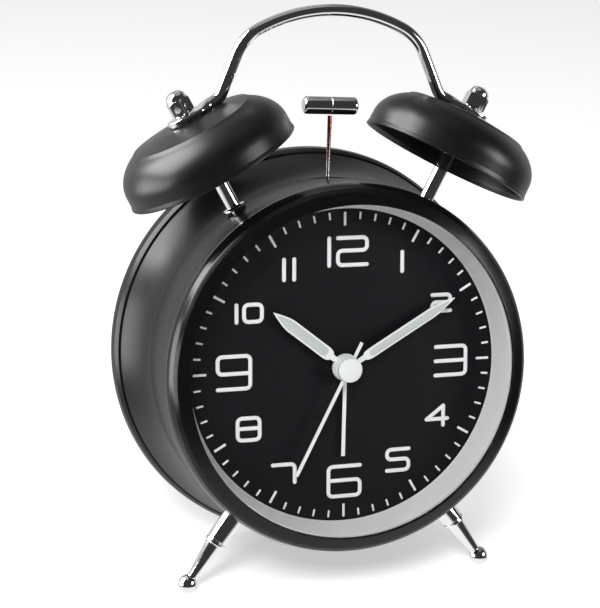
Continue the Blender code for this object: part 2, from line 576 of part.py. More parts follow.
def make_back(setter_at):
    cover = add("rear_cover", rod(COVER_R, COVER_BACK, COVER_FRONT, 48), LOOKS["cover"])
    holes = [("time_stem_hole", rod(STEM_R + 0.5, -40, -34, 14), (0, 0, 0)),
             ("setter_stem_hole", rod(STEM_R + 0.5, -40, -34, 14), setter_at),
             ("button_hole", rod(BUTTON_R + GAP, -40, -34, 20), (*BUTTON_AT, 0)),
             ("switch_slot", box((-SWITCH_SLOT[0] / 2, -SWITCH_SLOT[1] / 2, -40),
                                 (SWITCH_SLOT[0] / 2, SWITCH_SLOT[1] / 2, -34)), (*SWITCH_AT, 0)),
             ("battery_opening", box((-BAY_HALF_X, -BAY_HALF_Y, -40), (BAY_HALF_X, BAY_HALF_Y, -34)),
              (0, BATTERY_Y, 0))]
    for name, shape, at in holes:
        boolean(cover, cutter(name, shape, at))
    for i, (x, y) in enumerate(screw_places()):
        boolean(cover, cutter(f"cover_hole_{i + 1}", rod(SCREW_R + GAP, -40, -34, 10), (x, y, 0)))
        head = COVER_BACK - GAP
        screw = lathe([(0, -33.0), (SCREW_R, -33.0), (SCREW_R, head), (2.2, head), (2.0, head - 0.9),
                       (1.2, head - 1.3), (0, head - 1.4)], 14)
        add(f"rear_screw_{i + 1}", screw, LOOKS["steel"], (x, y, 0))
    half_x, half_y = BAY_HALF_X - GAP, BAY_HALF_Y - GAP
    add("battery_door", box((-half_x, -half_y, COVER_BACK), (half_x, half_y, COVER_FRONT)),
        LOOKS["cover"], (0, BATTERY_Y, 0))
    button = lathe([(0, -40.4), (BUTTON_R - 0.8, -40.3), (BUTTON_R, -39.7), (BUTTON_R, -34.6),
                    (0, -34.6)], 22)
    add("light_button", button, LOOKS["knob"], (*BUTTON_AT, 0))
    rest = SWITCH_AT[1] - 3.0
    add("alarm_switch", box((-2.1, -2.9, -39.6), (2.1, 2.9, -34.6)), LOOKS["knob"], (SWITCH_AT[0], rest, 0))
    knob("time_set_knob", (0, 0, 0), -13.0, STEM_R, -20.0)
    knob("alarm_set_knob", setter_at, -3.4, 1.2, -15.4)
    add("dial_lamp", lathe([(0, -1.6), (1.2, -1.9), (1.5, -2.6), (1.5, -5.4), (0, -5.4)], 14), LOOKS["lamp"],
        (0, 43.0, 0))


# ---- standing on the ground ----

def stand_up():
    """Rest the feet and the rear rim on z = 0 and put the origin under the middle of the box."""
    bpy.context.view_layer.update()
    graph = bpy.context.evaluated_depsgraph_get()
    low, high = Vector((1e9,) * 3), Vector((-1e9,) * 3)
    for obj in bpy.context.scene.objects:
        if obj.type not in ("MESH", "CURVE") or obj.hide_render:
            continue
        evaluated = obj.evaluated_get(graph)
        mesh = evaluated.to_mesh()
        for vertex in mesh.vertices:
            place = evaluated.matrix_world @ vertex.co
            low = Vector(map(min, low, place))
            high = Vector(map(max, high, place))
        evaluated.to_mesh_clear()
    CLOCK.location -= Vector(((low.x + high.x) / 2, (low.y + high.y) / 2, low.z))


clear_scene()
LOOKS = {
    "case": material("case_paint", (0.012, 0.012, 0.013), 0.34),
    "bezel": material("bezel_paint", (0.010, 0.010, 0.011), 0.28),
    "bell": material("bell_paint", (0.014, 0.014, 0.015), 0.38),
    "chrome": material("chrome", (0.86, 0.86, 0.87), 0.06, 1.0),
    "steel": material("zinc_steel", (0.55, 0.56, 0.58), 0.35, 1.0),
    "rod": material("hammer_rod", (0.45, 0.16, 0.14), 0.3, 0.8),
    "brass": material("brass", (0.66, 0.50, 0.24), 0.3, 1.0),
    "lens": material("clear_lens", (1.0, 1.0, 1.0), 0.02, alpha=0.15),
    "reflector": material("reflector_silver", (0.78, 0.79, 0.79), 0.38, 0.6),
    "dial": material("dial_black", (0.011, 0.011, 0.012), 0.55),
    "hands": material("hand_white", (0.80, 0.81, 0.81), 0.45),
    "gear": material("gear_plastic", (0.78, 0.77, 0.72), 0.5),
    "movement": material("movement_plastic", (0.05, 0.05, 0.055), 0.5),
    "cover": material("cover_plastic", (0.02, 0.02, 0.021), 0.5),
    "knob": material("knob_plastic", (0.03, 0.03, 0.032), 0.42),
    "battery": material("battery_jacket", (0.10, 0.16, 0.24), 0.35, 0.4),
    "lamp": material("lamp_white", (0.85, 0.86, 0.80), 0.2),
    "cutter": material("cutter", (0.8, 0.2, 0.2), 0.5),
}
CLOCK = empty("clock_frame")
CLOCK.rotation_euler = (pi / 2 - LEAN, 0, 0)

make_case()
make_bezel()
make_front()
for SIDE, NAME in ((-1, "left"), (1, "right")):
    make_bell(NAME, SIDE)
    make_post(NAME, SIDE)
    make_foot(NAME, SIDE)
make_handle()
make_hands()
SETTER = make_gears()
make_movement(SETTER)
make_hammer()
make_battery()
make_back(SETTER)
stand_up()
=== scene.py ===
# %% [markdown]
# # A twin-bell alarm clock
# This lesson dresses a finished solid model of a black twin-bell alarm clock. The solid model
# gives every size and place; each step below makes one family of pieces smoother and gives it
# the finish of the real thing. Lengths are millimetres in the dial's own frame until a piece is
# placed, because a clock is drawn most easily when its dial lies flat.

# %% Load the solid model
import json
from math import asin, atan2, cos, pi, radians, sin, sqrt, tan

import bmesh
import bpy
import numpy as np
from mathutils import Matrix, Vector


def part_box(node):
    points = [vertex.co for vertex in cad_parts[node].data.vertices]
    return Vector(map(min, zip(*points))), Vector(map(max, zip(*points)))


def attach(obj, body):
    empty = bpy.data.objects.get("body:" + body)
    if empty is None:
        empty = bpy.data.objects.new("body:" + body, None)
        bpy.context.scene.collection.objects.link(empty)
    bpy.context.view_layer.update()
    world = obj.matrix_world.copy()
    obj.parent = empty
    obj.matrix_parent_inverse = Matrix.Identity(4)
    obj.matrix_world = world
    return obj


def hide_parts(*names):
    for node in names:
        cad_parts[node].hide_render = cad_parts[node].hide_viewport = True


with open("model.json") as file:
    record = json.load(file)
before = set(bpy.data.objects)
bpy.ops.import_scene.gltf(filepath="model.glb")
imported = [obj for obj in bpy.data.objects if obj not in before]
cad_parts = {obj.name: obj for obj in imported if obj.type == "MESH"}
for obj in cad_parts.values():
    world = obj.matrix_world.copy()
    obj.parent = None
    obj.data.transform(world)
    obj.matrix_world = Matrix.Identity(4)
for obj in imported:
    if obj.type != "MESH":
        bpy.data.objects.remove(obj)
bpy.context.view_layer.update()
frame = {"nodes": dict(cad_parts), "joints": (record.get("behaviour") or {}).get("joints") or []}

# %% [markdown]
# The case leans back on its feet, so a point of the dial is awkward to state in room axes.
# The shaft that the minute hand turns on gives the dial's centre and direction, and from those
# comes one matrix that takes millimetres on the dial to metres in the room.

# %% The dial's frame
MM = 0.001
shaft = next(j for j in frame["joints"] if j["name"] == "minute_hand_turn")
OUT = -Vector(shaft["axis"]).normalized()      # out of the dial, towards the reader
RIGHT = Vector((1, 0, 0))
UP = OUT.cross(RIGHT)
DIAL = (Matrix.Translation(shaft["pos_m"])
        @ Matrix((RIGHT, UP, OUT)).transposed().to_4x4() @ Matrix.Scale(MM, 4))


def points_of(node, local=Matrix()):
    """A node's separate points, in millimetres, in the dial's frame or in a local one."""
    inverse = (DIAL @ local).inverted()
    found = np.array([inverse @ v.co for v in frame["nodes"][node].data.vertices])
    return np.unique(found.round(3), axis=0)


def span(node, local=Matrix()):
    """Lowest and highest corner of a node in the same frame."""
    found = points_of(node, local)
    return Vector(found.min(0)), Vector(found.max(0))


print("dial centre:", [round(x, 4) for x in DIAL.translation], "lean:", round(asin(UP.y) * 180 / pi, 2))

# %% [markdown]
# Bells and feet stand on tilted studs. The hexagon nut inside the case on each stud is a short
# even ring, so its middle lies on the stud's axis, and its thinnest direction is that axis.

# %% Tilted frames for bells and feet
def stud_frame(nut):
    """A frame whose Z runs outwards along a stud, with its origin in the middle of its nut."""
    found = points_of(nut)
    middle = found.mean(0)
    axis = Vector(np.linalg.svd(found - middle, full_matrices=False)[2][2])
    axis = Vector((axis.x, axis.y, 0)).normalized()
    if axis.dot(Vector(middle)) < 0:
        axis = -axis
    side = Vector((0, 0, -1)).cross(axis)
    turned = Matrix((side, (0, 0, -1), axis)).transposed().to_4x4()
    return Matrix.Translation(middle) @ turned


def reach(node, local):
    """(start, end, radius) of a turned node along its local frame's Z."""
    found = points_of(node, local)
    return found[:, 2].min(), found[:, 2].max(), np.hypot(found[:, 0], found[:, 1]).max()


STUDS = {name: stud_frame(name + "_nut") for name in ("left_bell", "right_bell", "left_foot", "right_foot")}
for name, local in STUDS.items():
    print(name, "axis", [round(x, 3) for x in local.col[2][:3]])

# %% [markdown]
# ## Finishes
# Nothing real has one flat colour. Each finish starts from the standard shader and gets three
# things: a broad, faint change of colour, a change of gloss where hands and cloth have been,
# and a fine relief such as the orange peel of sprayed enamel or the grain of a plastic mould.
# The patterns read object coordinates, so they are the same size on every piece.

# %% Helpers for finishes
class Finish:
    """A material being built: its shader, and short calls for the nodes that feed it."""

    def __init__(self, name, colour, roughness, metallic=0.0, coat=0.0, ior=1.5):
        self.material = bpy.data.materials.new(name)
        self.material.use_nodes = True
        tree = self.material.node_tree
        self.nodes, self.links = tree.nodes, tree.links
        self.shader = self.nodes["Principled BSDF"]
        self.colour = (*colour, 1.0)
        for socket, value in (("Base Color", self.colour), ("Roughness", roughness), ("IOR", ior),
                              ("Metallic", metallic), ("Coat Weight", coat), ("Coat Roughness", 0.08)):
            self.shader.inputs[socket].default_value = value
        self.place = self.nodes.new("ShaderNodeTexCoord").outputs["Object"]
        self.relief = None

    def feed(self, node, socket, value):
        if isinstance(value, bpy.types.NodeSocket):
            self.links.new(value, node.inputs[socket])
        else:
            node.inputs[socket].default_value = value

    def noise(self, size, detail=2.0, stretch=None):
        """Soft noise whose blotches are about this many millimetres across."""
        node = self.nodes.new("ShaderNodeTexNoise")
        node.inputs["Scale"].default_value = 1 / (size * MM)
        node.inputs["Detail"].default_value = detail
        place = self.place
        if stretch:
            mapping = self.nodes.new("ShaderNodeMapping")
            mapping.inputs["Scale"].default_value = stretch
            self.links.new(place, mapping.inputs["Vector"])
            place = mapping.outputs["Vector"]
        self.links.new(place, node.inputs["Vector"])
        return node.outputs["Fac"]

    def grains(self, size):
        """Distance to the nearest of many scattered points, for specks and grit."""
        node = self.nodes.new("ShaderNodeTexVoronoi")
        node.inputs["Scale"].default_value = 1 / (size * MM)
        self.links.new(self.place, node.inputs["Vector"])
        return node.outputs["Distance"]

    def ramp(self, value, low, high, start=0.0, end=1.0):
        """Maps value from low..high onto start..end, held at its ends."""
        node = self.nodes.new("ShaderNodeMapRange")
        for socket, number in (("Value", value), ("From Min", low), ("From Max", high),
                               ("To Min", start), ("To Max", end)):
            self.feed(node, socket, number)
        return node.outputs["Result"]

    def maths(self, operation, first, second=0.0):
        node = self.nodes.new("ShaderNodeMath")
        node.operation = operation
        self.feed(node, 0, first)
        self.feed(node, 1, second)
        return node.outputs[0]

    def blend(self, share, first, second):
        """A colour between two colours."""
        node = self.nodes.new("ShaderNodeMix")
        node.data_type = "RGBA"
        self.feed(node, "Factor", share)
        for slot, colour in ((6, first), (7, second)):
            self.feed(node, slot, colour if isinstance(colour, bpy.types.NodeSocket) else (*colour[:3], 1.0))
        return node.outputs[2]

    def attribute(self, name):
        node = self.nodes.new("ShaderNodeAttribute")
        node.attribute_name = name
        return node.outputs["Fac"]

    def along(self, axis):
        """One room coordinate, in metres."""
        node = self.nodes.new("ShaderNodeSeparateXYZ")
        self.links.new(self.place, node.inputs[0])
        return node.outputs[axis]

    def set(self, socket, value):
        self.feed(self.shader, socket, value)

    def bump(self, height, microns):
        """Adds a relief of this depth on top of those before it."""
        node = self.nodes.new("ShaderNodeBump")
        node.inputs["Strength"].default_value = 1.0
        node.inputs["Distance"].default_value = microns * 1e-6
        self.links.new(height, node.inputs["Height"])
        if self.relief:
            self.links.new(self.relief, node.inputs["Normal"])
        self.relief = node.outputs["Normal"]
        self.links.new(self.relief, self.shader.inputs["Normal"])


def shade(colour, factor):
    return tuple(min(channel * factor, 1.0) for channel in colour)


print("finish helpers ready")

# %% [markdown]
# Sprayed enamel on pressed steel is dark and quite glossy, with a fine orange peel. It is
# rubbed brighter along its raised edges, which the turned pieces mark with an attribute.

# %% Enamel, black and satin
EDGE = "edge"      # 1 along a rounded edge, 0 on the faces beside it


def enamel(name, colour, roughness, peel=6.0, ior=1.36):
    made = Finish(name, colour, roughness, ior=ior)
    cloud = made.noise(22, 3)
    wiped = made.noise(7, 4, (1.0, 1.0, 0.35))
    fine = made.noise(0.35, 2)
    rubbed = made.maths("MULTIPLY", made.attribute(EDGE), made.ramp(made.noise(1.8, 3), 0.42, 0.62))
    speck = made.ramp(made.grains(1.6), 0.035, 0.02)
    body = made.blend(cloud, shade(colour, 0.8), shade(colour, 1.25))
    body = made.blend(made.maths("MULTIPLY", rubbed, 0.5), body, shade(colour, 5))
    made.set("Base Color", made.blend(made.maths("MULTIPLY", speck, 0.15), body, (0.12, 0.12, 0.12)))
    gloss = made.maths("ADD", made.ramp(wiped, 0.3, 0.7, roughness - 0.03, roughness + 0.03),
                       made.ramp(fine, 0.2, 0.8, -0.02, 0.02))
    made.set("Roughness", made.maths("SUBTRACT", gloss, made.maths("MULTIPLY", rubbed, 0.1)))
    made.bump(made.noise(0.9, 2), peel)
    made.bump(made.noise(9, 2), 3)
    return made.material


LOOK = {"case": enamel("case_enamel", (0.0036, 0.0035, 0.0038), 0.30, ior=1.34),
        "bezel": enamel("bezel_enamel", (0.0034, 0.0033, 0.0036), 0.22, 4.0),
        "bell": enamel("bell_satin", (0.0040, 0.0039, 0.0042), 0.36, 5.0, 1.47)}
print("enamels:", ", ".join(LOOK))

# %% [markdown]
# Chrome plate is almost a mirror. What makes it believable is what isn't perfect: a slow waviness
# left by polishing, hair-fine wiping marks, and a faint haze in places.

# %% Bare and plated metals
POLISH_WAVE = 1.5      # microns


def plated(name, colour, roughness, haze=0.05, scratch=1.0):
    made = Finish(name, colour, roughness, metallic=1.0)
    cloud = made.noise(6, 3)
    hairs = made.noise(0.25, 2, (1.0, 1.0, 0.06))
    made.set("Base Color", made.blend(cloud, shade(colour, 0.93), shade(colour, 1.03)))
    made.set("Roughness", made.maths("ADD", made.ramp(cloud, 0.35, 0.75, roughness, roughness + haze),
                                     made.ramp(hairs, 0.55, 0.8, 0.0, haze)))
    made.bump(hairs, scratch)
    made.bump(made.noise(5, 1), POLISH_WAVE)
    return made.material


LOOK["chrome"] = plated("bright_chrome", (0.88, 0.88, 0.89), 0.045)
LOOK["zinc"] = plated("zinc_plate", (0.56, 0.57, 0.58), 0.28, 0.12, 3.0)
LOOK["brass"] = plated("turned_brass", (0.66, 0.49, 0.23), 0.24, 0.1, 2.0)
LOOK["nickel"] = plated("nickel_cap", (0.70, 0.68, 0.63), 0.2, 0.1, 2.0)


def coppered_wire():
    """Copper-coloured wire that has worn to bare steel towards the case."""
    made = Finish("hammer_wire", (0.5, 0.2, 0.16), 0.26, 1.0)
    low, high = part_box("hammer_rod")
    height = made.ramp(made.along("Z"), low.z + 0.42 * (high.z - low.z), high.z)
    patchy = made.maths("ADD", height, made.ramp(made.noise(1.4, 3), 0.3, 0.7, -0.22, 0.22))
    made.set("Base Color", made.blend(made.ramp(patchy, 0.1, 0.75), (0.58, 0.57, 0.56), (0.62, 0.22, 0.18)))
    made.set("Roughness", made.ramp(made.noise(0.5, 2), 0.3, 0.7, 0.2, 0.36))
    made.bump(made.noise(0.12, 2, (1.0, 1.0, 0.1)), 3)
    return made.material


LOOK["wire"] = coppered_wire()
print("metals: chrome, zinc, brass, nickel, wire")

# %% [markdown]
# Moulded plastic copies the grain of its mould. The knobs and the back are spark-textured black,
# the gears are smoother natural acetal, and the dial is sprayed a deep matte black. The white
# lacquer of numerals and hands is even and slightly soft at its edges.

# %% Plastics and lacquers
def moulded(name, colour, roughness, grain=0.22, depth=9.0, spread=1.15, ior=1.45):
    made = Finish(name, colour, roughness, ior=ior)
    cloud = made.noise(12, 3)
    made.set("Base Color", made.blend(cloud, shade(colour, 1 / spread), shade(colour, spread)))
    handled = made.ramp(made.noise(4, 3), 0.3, 0.7, roughness - 0.05, roughness + 0.05)
    made.set("Roughness", made.maths("ADD", handled, made.ramp(made.noise(grain, 1), 0.3, 0.7, -0.03, 0.03)))
    made.bump(made.noise(grain, 2), depth)
    return made.material


LOOK["cover"] = moulded("back_plastic", (0.020, 0.020, 0.021), 0.46, 0.3, 22)
LOOK["knob"] = moulded("knob_plastic", (0.028, 0.028, 0.029), 0.36, 0.2, 7)
LOOK["movement"] = moulded("movement_plastic", (0.045, 0.045, 0.048), 0.42)
LOOK["gear"] = moulded("natural_acetal", (0.76, 0.75, 0.69), 0.4, 0.4, 4, 1.05)
LOOK["dial"] = moulded("dial_matte_black", (0.0062, 0.0060, 0.0078), 0.58, 0.12, 5, ior=1.3)
LOOK["white"] = moulded("white_lacquer", (0.80, 0.815, 0.82), 0.42, 0.5, 4, 1.03)
LOOK["lume"] = moulded("pale_infill", (0.50, 0.545, 0.54), 0.6, 0.16, 12, 1.05)
LOOK["lamp"] = moulded("lamp_milk_white", (0.84, 0.85, 0.80), 0.2, 0.5, 2, 1.03)


def silvered():
    """Vacuum-silvered plastic of the sloping ring round the dial, with faint turning marks."""
    made = Finish("silvered_ring", (0.84, 0.85, 0.845), 0.4, 0.15)
    marks = made.noise(0.5, 3)
    made.set("Base Color", made.blend(made.noise(14, 3), (0.82, 0.83, 0.82), (0.88, 0.885, 0.875)))
    made.set("Roughness", made.ramp(marks, 0.3, 0.7, 0.34, 0.44))
    made.bump(made.noise(0.2, 2), 3)
    return made.material


def clear_lens():
    """A thin window: it mirrors as much as real glass does and lets the rest through."""
    made = Finish("clear_window", (0.96, 0.97, 0.97), 0.03, 1.0)
    fresnel = made.nodes.new("ShaderNodeFresnel")
    fresnel.inputs["IOR"].default_value = 1.1
    smear = made.ramp(made.noise(16, 4), 0.45, 0.75, 0.0, 0.002)
    made.set("Alpha", made.maths("ADD", fresnel.outputs[0], smear))
    made.set("Roughness", made.ramp(made.noise(8, 3), 0.35, 0.7, 0.015, 0.05))
    made.bump(made.noise(30, 1), 6)
    return made.material


def sleeve():
    """A plain battery sleeve in two printed colours under a clear film."""
    made = Finish("battery_sleeve", (0.05, 0.09, 0.16), 0.25, coat=0.5)
    low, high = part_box("battery")
    share = made.ramp(made.along("X"), high.x - 0.30 * (high.x - low.x), high.x - 0.295 * (high.x - low.x))
    made.set("Base Color", made.blend(share, (0.035, 0.06, 0.11), (0.55, 0.27, 0.10)))
    made.set("Roughness", made.ramp(made.noise(3, 3), 0.3, 0.7, 0.18, 0.32))
    made.bump(made.noise(2, 2), 10)
    return made.material


LOOK["silver"], LOOK["lens"], LOOK["sleeve"] = silvered(), clear_lens(), sleeve()
print(len(LOOK), "finishes")

# %% [markdown]
# ## Making and placing a piece
# Every piece ends the same way. Its mesh is moved from its own frame to the room, its normals
# are made to point outwards, its soft and hard edges are told apart by angle, and it is tied to
# the body of the solid model that it moves with.

# %% Finishing a piece
WELD = 1e-3      # millimetres: points nearer than this are one


def tidy_mesh(mesh):
    """Merges doubled points and turns every face outwards."""
    bm = bmesh.new()
    bm.from_mesh(mesh)
    bmesh.ops.remove_doubles(bm, verts=bm.verts, dist=WELD)
    bmesh.ops.recalc_face_normals(bm, faces=bm.faces)
    bm.to_mesh(mesh)
    bm.free()
    return mesh


def finished(name, mesh, look, body, replaces=(), local=Matrix(), sharp=38):
    """A named piece in its place, tied to its body. The mesh arrives in millimetres."""
    tidy_mesh(mesh)
    mesh.transform(DIAL @ local)
    mesh.shade_smooth()
    mesh.set_sharp_from_angle(angle=radians(sharp))
    if look:
        mesh.materials.clear()
        mesh.materials.append(LOOK[look])
    mesh.name = name
    piece = bpy.data.objects.new(name, mesh)
    bpy.context.scene.collection.objects.link(piece)
    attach(piece, body)
    if replaces:
        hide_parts(*replaces)
    return piece


def mesh_of(bm):
    mesh = bpy.data.meshes.new("shape")
    bm.to_mesh(mesh)
    bm.free()
    return mesh


def raise_face(bm, face, rise):
    """Pulls a flat face up into a solid with straight sides."""
    top = bmesh.ops.extrude_face_region(bm, geom=[face])["geom"]
    bmesh.ops.translate(bm, vec=(0, 0, rise), verts=[v for v in top if isinstance(v, bmesh.types.BMVert)])


def joined(*meshes):
    """Several meshes as one."""
    bm = bmesh.new()
    for mesh in meshes:
        bm.from_mesh(mesh)
    return mesh_of(bm)


def moved(mesh, matrix):
    mesh.transform(matrix)
    return mesh


def carved(mesh, *cutters):
    """Cuts shapes out of a mesh with exact Booleans."""
    base = bpy.data.objects.new("base", tidy_mesh(mesh))
    bpy.context.scene.collection.objects.link(base)
    tools = []
    for shape in cutters:
        tool = bpy.data.objects.new("tool", tidy_mesh(shape))
        bpy.context.scene.collection.objects.link(tool)
        change = base.modifiers.new("carve", "BOOLEAN")
        change.operation, change.solver, change.object = "DIFFERENCE", "EXACT", tool
        tools.append(tool)
    graph = bpy.context.evaluated_depsgraph_get()
    made = bpy.data.meshes.new_from_object(base.evaluated_get(graph), depsgraph=graph)
    for obj in (base, *tools):
        bpy.data.objects.remove(obj)
    return made


print("piece helpers ready")

# %% [markdown]
# ## Turned pieces
# Most of a clock is turned: case, bezel, bells, posts, feet and knobs are one outline spun about
# an axis. A small Geometry Nodes tree does the spinning. It sweeps the outline round a circle of
# almost no size, which is what a lathe does, merges the points on the axis, and sets the finish.
# The outline is drawn with its corners rounded, because a real edge always catches a line of
# light, and each rounding is marked so that the finish can rub it.

# %% The turning tree
def new_tree(name, inputs):
    """A Geometry Nodes tree with named inputs. Returns the tree, its input node and its output node."""
    tree = bpy.data.node_groups.new(name, "GeometryNodeTree")
    kinds = {float: "NodeSocketFloat", int: "NodeSocketInt"}
    tree.interface.new_socket("Geometry", in_out="INPUT", socket_type="NodeSocketGeometry")
    for label, value in inputs.items():
        made = tree.interface.new_socket(label, in_out="INPUT", socket_type=kinds[type(value)])
        made.default_value = value
    tree.interface.new_socket("Finish", in_out="INPUT", socket_type="NodeSocketMaterial")
    tree.interface.new_socket("Geometry", in_out="OUTPUT", socket_type="NodeSocketGeometry")
    return tree, tree.nodes.new("NodeGroupInput"), tree.nodes.new("NodeGroupOutput")


def chain(tree, start, *steps):
    """Joins nodes in a row. A step is (node type, {socket: value or output}), and returns the last output."""
    here = start
    for kind, sockets in steps:
        node = tree.nodes.new(kind)
        entry = next(s for s in node.inputs if s.type == "GEOMETRY")
        for socket, value in sockets.items():
            if isinstance(value, bpy.types.NodeSocket):
                tree.links.new(value, node.inputs[socket])
            else:
                node.inputs[socket].default_value = value
        tree.links.new(here, entry)
        here = node.outputs[0]
    return here


def close_tree(tree, enter, leave, last):
    """Every tree ends the same way: real geometry, and its finish."""
    last = chain(tree, last, ("GeometryNodeRealizeInstances", {}),
                 ("GeometryNodeSetMaterial", {"Material": enter.outputs["Finish"]}))
    tree.links.new(last, leave.inputs[0])
    return tree


def grown(mesh, tree, look, **inputs):
    """Runs a tree once on a mesh and returns the plain mesh that it makes."""
    source = bpy.data.objects.new("source", mesh)
    bpy.context.scene.collection.objects.link(source)
    change = source.modifiers.new("grow", "NODES")
    change.node_group = tree
    values = {"Finish": LOOK[look], **{name.replace("_", " "): value for name, value in inputs.items()}}
    for item in tree.interface.items_tree:
        if item.in_out == "INPUT" and item.name in values:
            change[item.identifier] = values[item.name]
    graph = bpy.context.evaluated_depsgraph_get()
    made = bpy.data.meshes.new_from_object(source.evaluated_get(graph), depsgraph=graph)
    source.modifiers.clear()
    bpy.data.objects.remove(source)
    return made


ALMOST_NOTHING = 1e-4      # millimetres: the radius of the circle that an outline is swept round
TURNING, enter, leave = new_tree("turned on a lathe", {"Segments": 96})
circle = TURNING.nodes.new("GeometryNodeCurvePrimitiveCircle")
circle.inputs["Radius"].default_value = ALMOST_NOTHING
TURNING.links.new(enter.outputs["Segments"], circle.inputs["Resolution"])
outline = chain(TURNING, enter.outputs["Geometry"], ("GeometryNodeMeshToCurve", {}))
sweep = TURNING.nodes.new("GeometryNodeCurveToMesh")
TURNING.links.new(circle.outputs[0], sweep.inputs["Curve"])
TURNING.links.new(outline, sweep.inputs["Profile Curve"])
merged = chain(TURNING, sweep.outputs[0], ("GeometryNodeMergeByDistance", {"Distance": 10 * ALMOST_NOTHING}))
close_tree(TURNING, enter, leave, merged)
print("turning tree:", len(TURNING.nodes), "nodes")

# %% Outlines with rounded corners
def rounded(points, closed=True, steps=5):
    """Points are (x, y) or (x, y, radius of the corner). Returns (x, y, edge) all along."""
    found, last = [], len(points) - 1
    for i, point in enumerate(points):
        here, radius = Vector(point[:2]), point[2] if len(point) > 2 else 0
        if radius == 0 or (not closed and i in (0, last)):
            found.append((*here, 0.0))
            continue
        to_last, to_next = Vector(points[i - 1][:2]) - here, Vector(points[(i + 1) % len(points)][:2]) - here
        half = to_last.angle(to_next) / 2
        cut = min(radius / tan(half), 0.48 * to_last.length, 0.48 * to_next.length)
        first, second = here + to_last.normalized() * cut, here + to_next.normalized() * cut
        for k in range(steps + 1):
            t = k / steps
            found.append((*(first * (1 - t) ** 2 + here * 2 * t * (1 - t) + second * t * t),
                          1.0 if 0 < k < steps else 0.25))
    return found


def turned(points, look, segments=96, steps=5):
    """Spins an outline of (radius, height, corner radius) about Z. It may start and end on the axis."""
    closed = points[0][0] > 0
    outline = rounded(points, closed, steps)
    mesh = bpy.data.meshes.new("outline")
    count = len(outline)
    edges = [(i, (i + 1) % count) for i in range(count if closed else count - 1)]
    mesh.from_pydata([(r, -h, 0) for r, h, _ in outline], edges, [])
    marks = mesh.attributes.new(EDGE, "FLOAT", "POINT")
    marks.data.foreach_set("value", [edge for _, _, edge in outline])
    return grown(mesh, TURNING, look, Segments=segments)


test = turned([(0, 0), (10, 0, 1), (10, 5, 1), (0, 5)], "chrome")
print("a test disc spans", [round(x, 2) for x in np.ptp([v.co for v in test.vertices], axis=0)])

# %% [markdown]
# ## Case
# The case is a pressed steel drum: a plain band behind the bezel, a crease, a hollow flare out to
# the back, and a rolled rim that the clock also stands on. The slot for the hammer is cut
# through the band last, as it would be in the press.

# %% Case drum
case_low, case_high = span("case_drum")
bezel_low, bezel_high = span("bezel_ring")
RIM_R, RIM_BACK, NECK_FRONT = case_high.x, case_low.z, case_high.z
BEZEL_R, BEZEL_FRONT, BEZEL_BACK = bezel_high.x, bezel_high.z, bezel_low.z
BAND_R, BAND_FRONT, BAND_BACK = BEZEL_R - 0.4, BEZEL_BACK - 0.3, -16.5
FLARE_R, FLARE_BACK, WALL = 58.2, -34.3, 1.2
cover_low, cover_high = span("rear_cover")
NECK_R, LEDGE_R, RECESS_R = 51.0, 47.5, cover_high.x + 0.4


def flare(inwards, steps=16):
    found = []
    for i in range(steps + 1):
        t = i / steps
        found.append((BAND_R - 0.25 + (FLARE_R - BAND_R + 0.25) * t ** 1.5 - inwards,
                      BAND_BACK - 0.35 + (FLARE_BACK - BAND_BACK + 0.35) * t))
    return found


ledge = cover_high.z + 0.3
case_outline = [(NECK_R, NECK_FRONT, 0.2), (NECK_R, BAND_FRONT, 0.1), (BAND_R, BAND_FRONT, 0.35),
                (BAND_R, BAND_BACK + 0.2, 0.3), *flare(0)[:-1], (FLARE_R, FLARE_BACK, 0.25),
                (FLARE_R - 0.25, FLARE_BACK - 0.35, 0.12), (FLARE_R + 0.6, FLARE_BACK - 0.7, 0.3),
                (RIM_R - 0.35, RIM_BACK + 5.2, 2.0), (RIM_R, RIM_BACK + 2.2, 1.6),
                (RIM_R - 0.5, RIM_BACK, 0.9), (RIM_R - 2.1, RIM_BACK, 0.8), (RECESS_R, RIM_BACK + 1.2, 0.5),
                (RECESS_R, ledge, 0.1), (LEDGE_R, ledge, 0.2), (LEDGE_R, ledge + 1.4, 0.2),
                (FLARE_R - WALL - 0.6, ledge + 1.4), *reversed(flare(WALL)[:-1]),
                (BAND_R - WALL, BAND_FRONT - WALL), (NECK_R - WALL, BAND_FRONT - WALL),
                (NECK_R - WALL, NECK_FRONT, 0.2)]
SLOT_LENGTH, SLOT_WIDTH = 12.4, 2.6


def lens_shape(length, width, low, high, steps=20):
    """A slot pointed at both ends, along X, with its depth along Z."""
    bm = bmesh.new()
    upper = [(length / 2 * (2 * i / steps - 1), width / 2 * (1 - (2 * i / steps - 1) ** 2) ** 0.8) for i in
             range(steps + 1)]
    ring = upper + [(x, -y) for x, y in reversed(upper[1:-1])]
    face = bm.faces.new([bm.verts.new((x, y, low)) for x, y in ring])
    raise_face(bm, face, high - low)
    return mesh_of(bm)


hammer_low, hammer_high = span("hammer_rod")
slot_z = (hammer_low.z + hammer_high.z) / 2
slot_cut = moved(lens_shape(SLOT_LENGTH, SLOT_WIDTH, 45, 62),
                 Matrix.Translation((0, 0, slot_z)) @ Matrix.Rotation(-pi / 2, 4, "X"))
case = finished("case_shell", carved(turned(case_outline, "case", 192), slot_cut), "case", "case",
                ["case_drum"], sharp=32)
print("case shell:", len(case.data.polygons), "faces, rim radius", round(RIM_R, 2), "mm")

# %% [markdown]
# ## Bezel, window, silvered ring and dial
# The bezel is a deep ring with a sloping face and a thin bright lip. The flat window sits just
# inside it, and a silvered ring slopes down from there to the dial. Silver round a black dial is
# what makes the dial look deep.

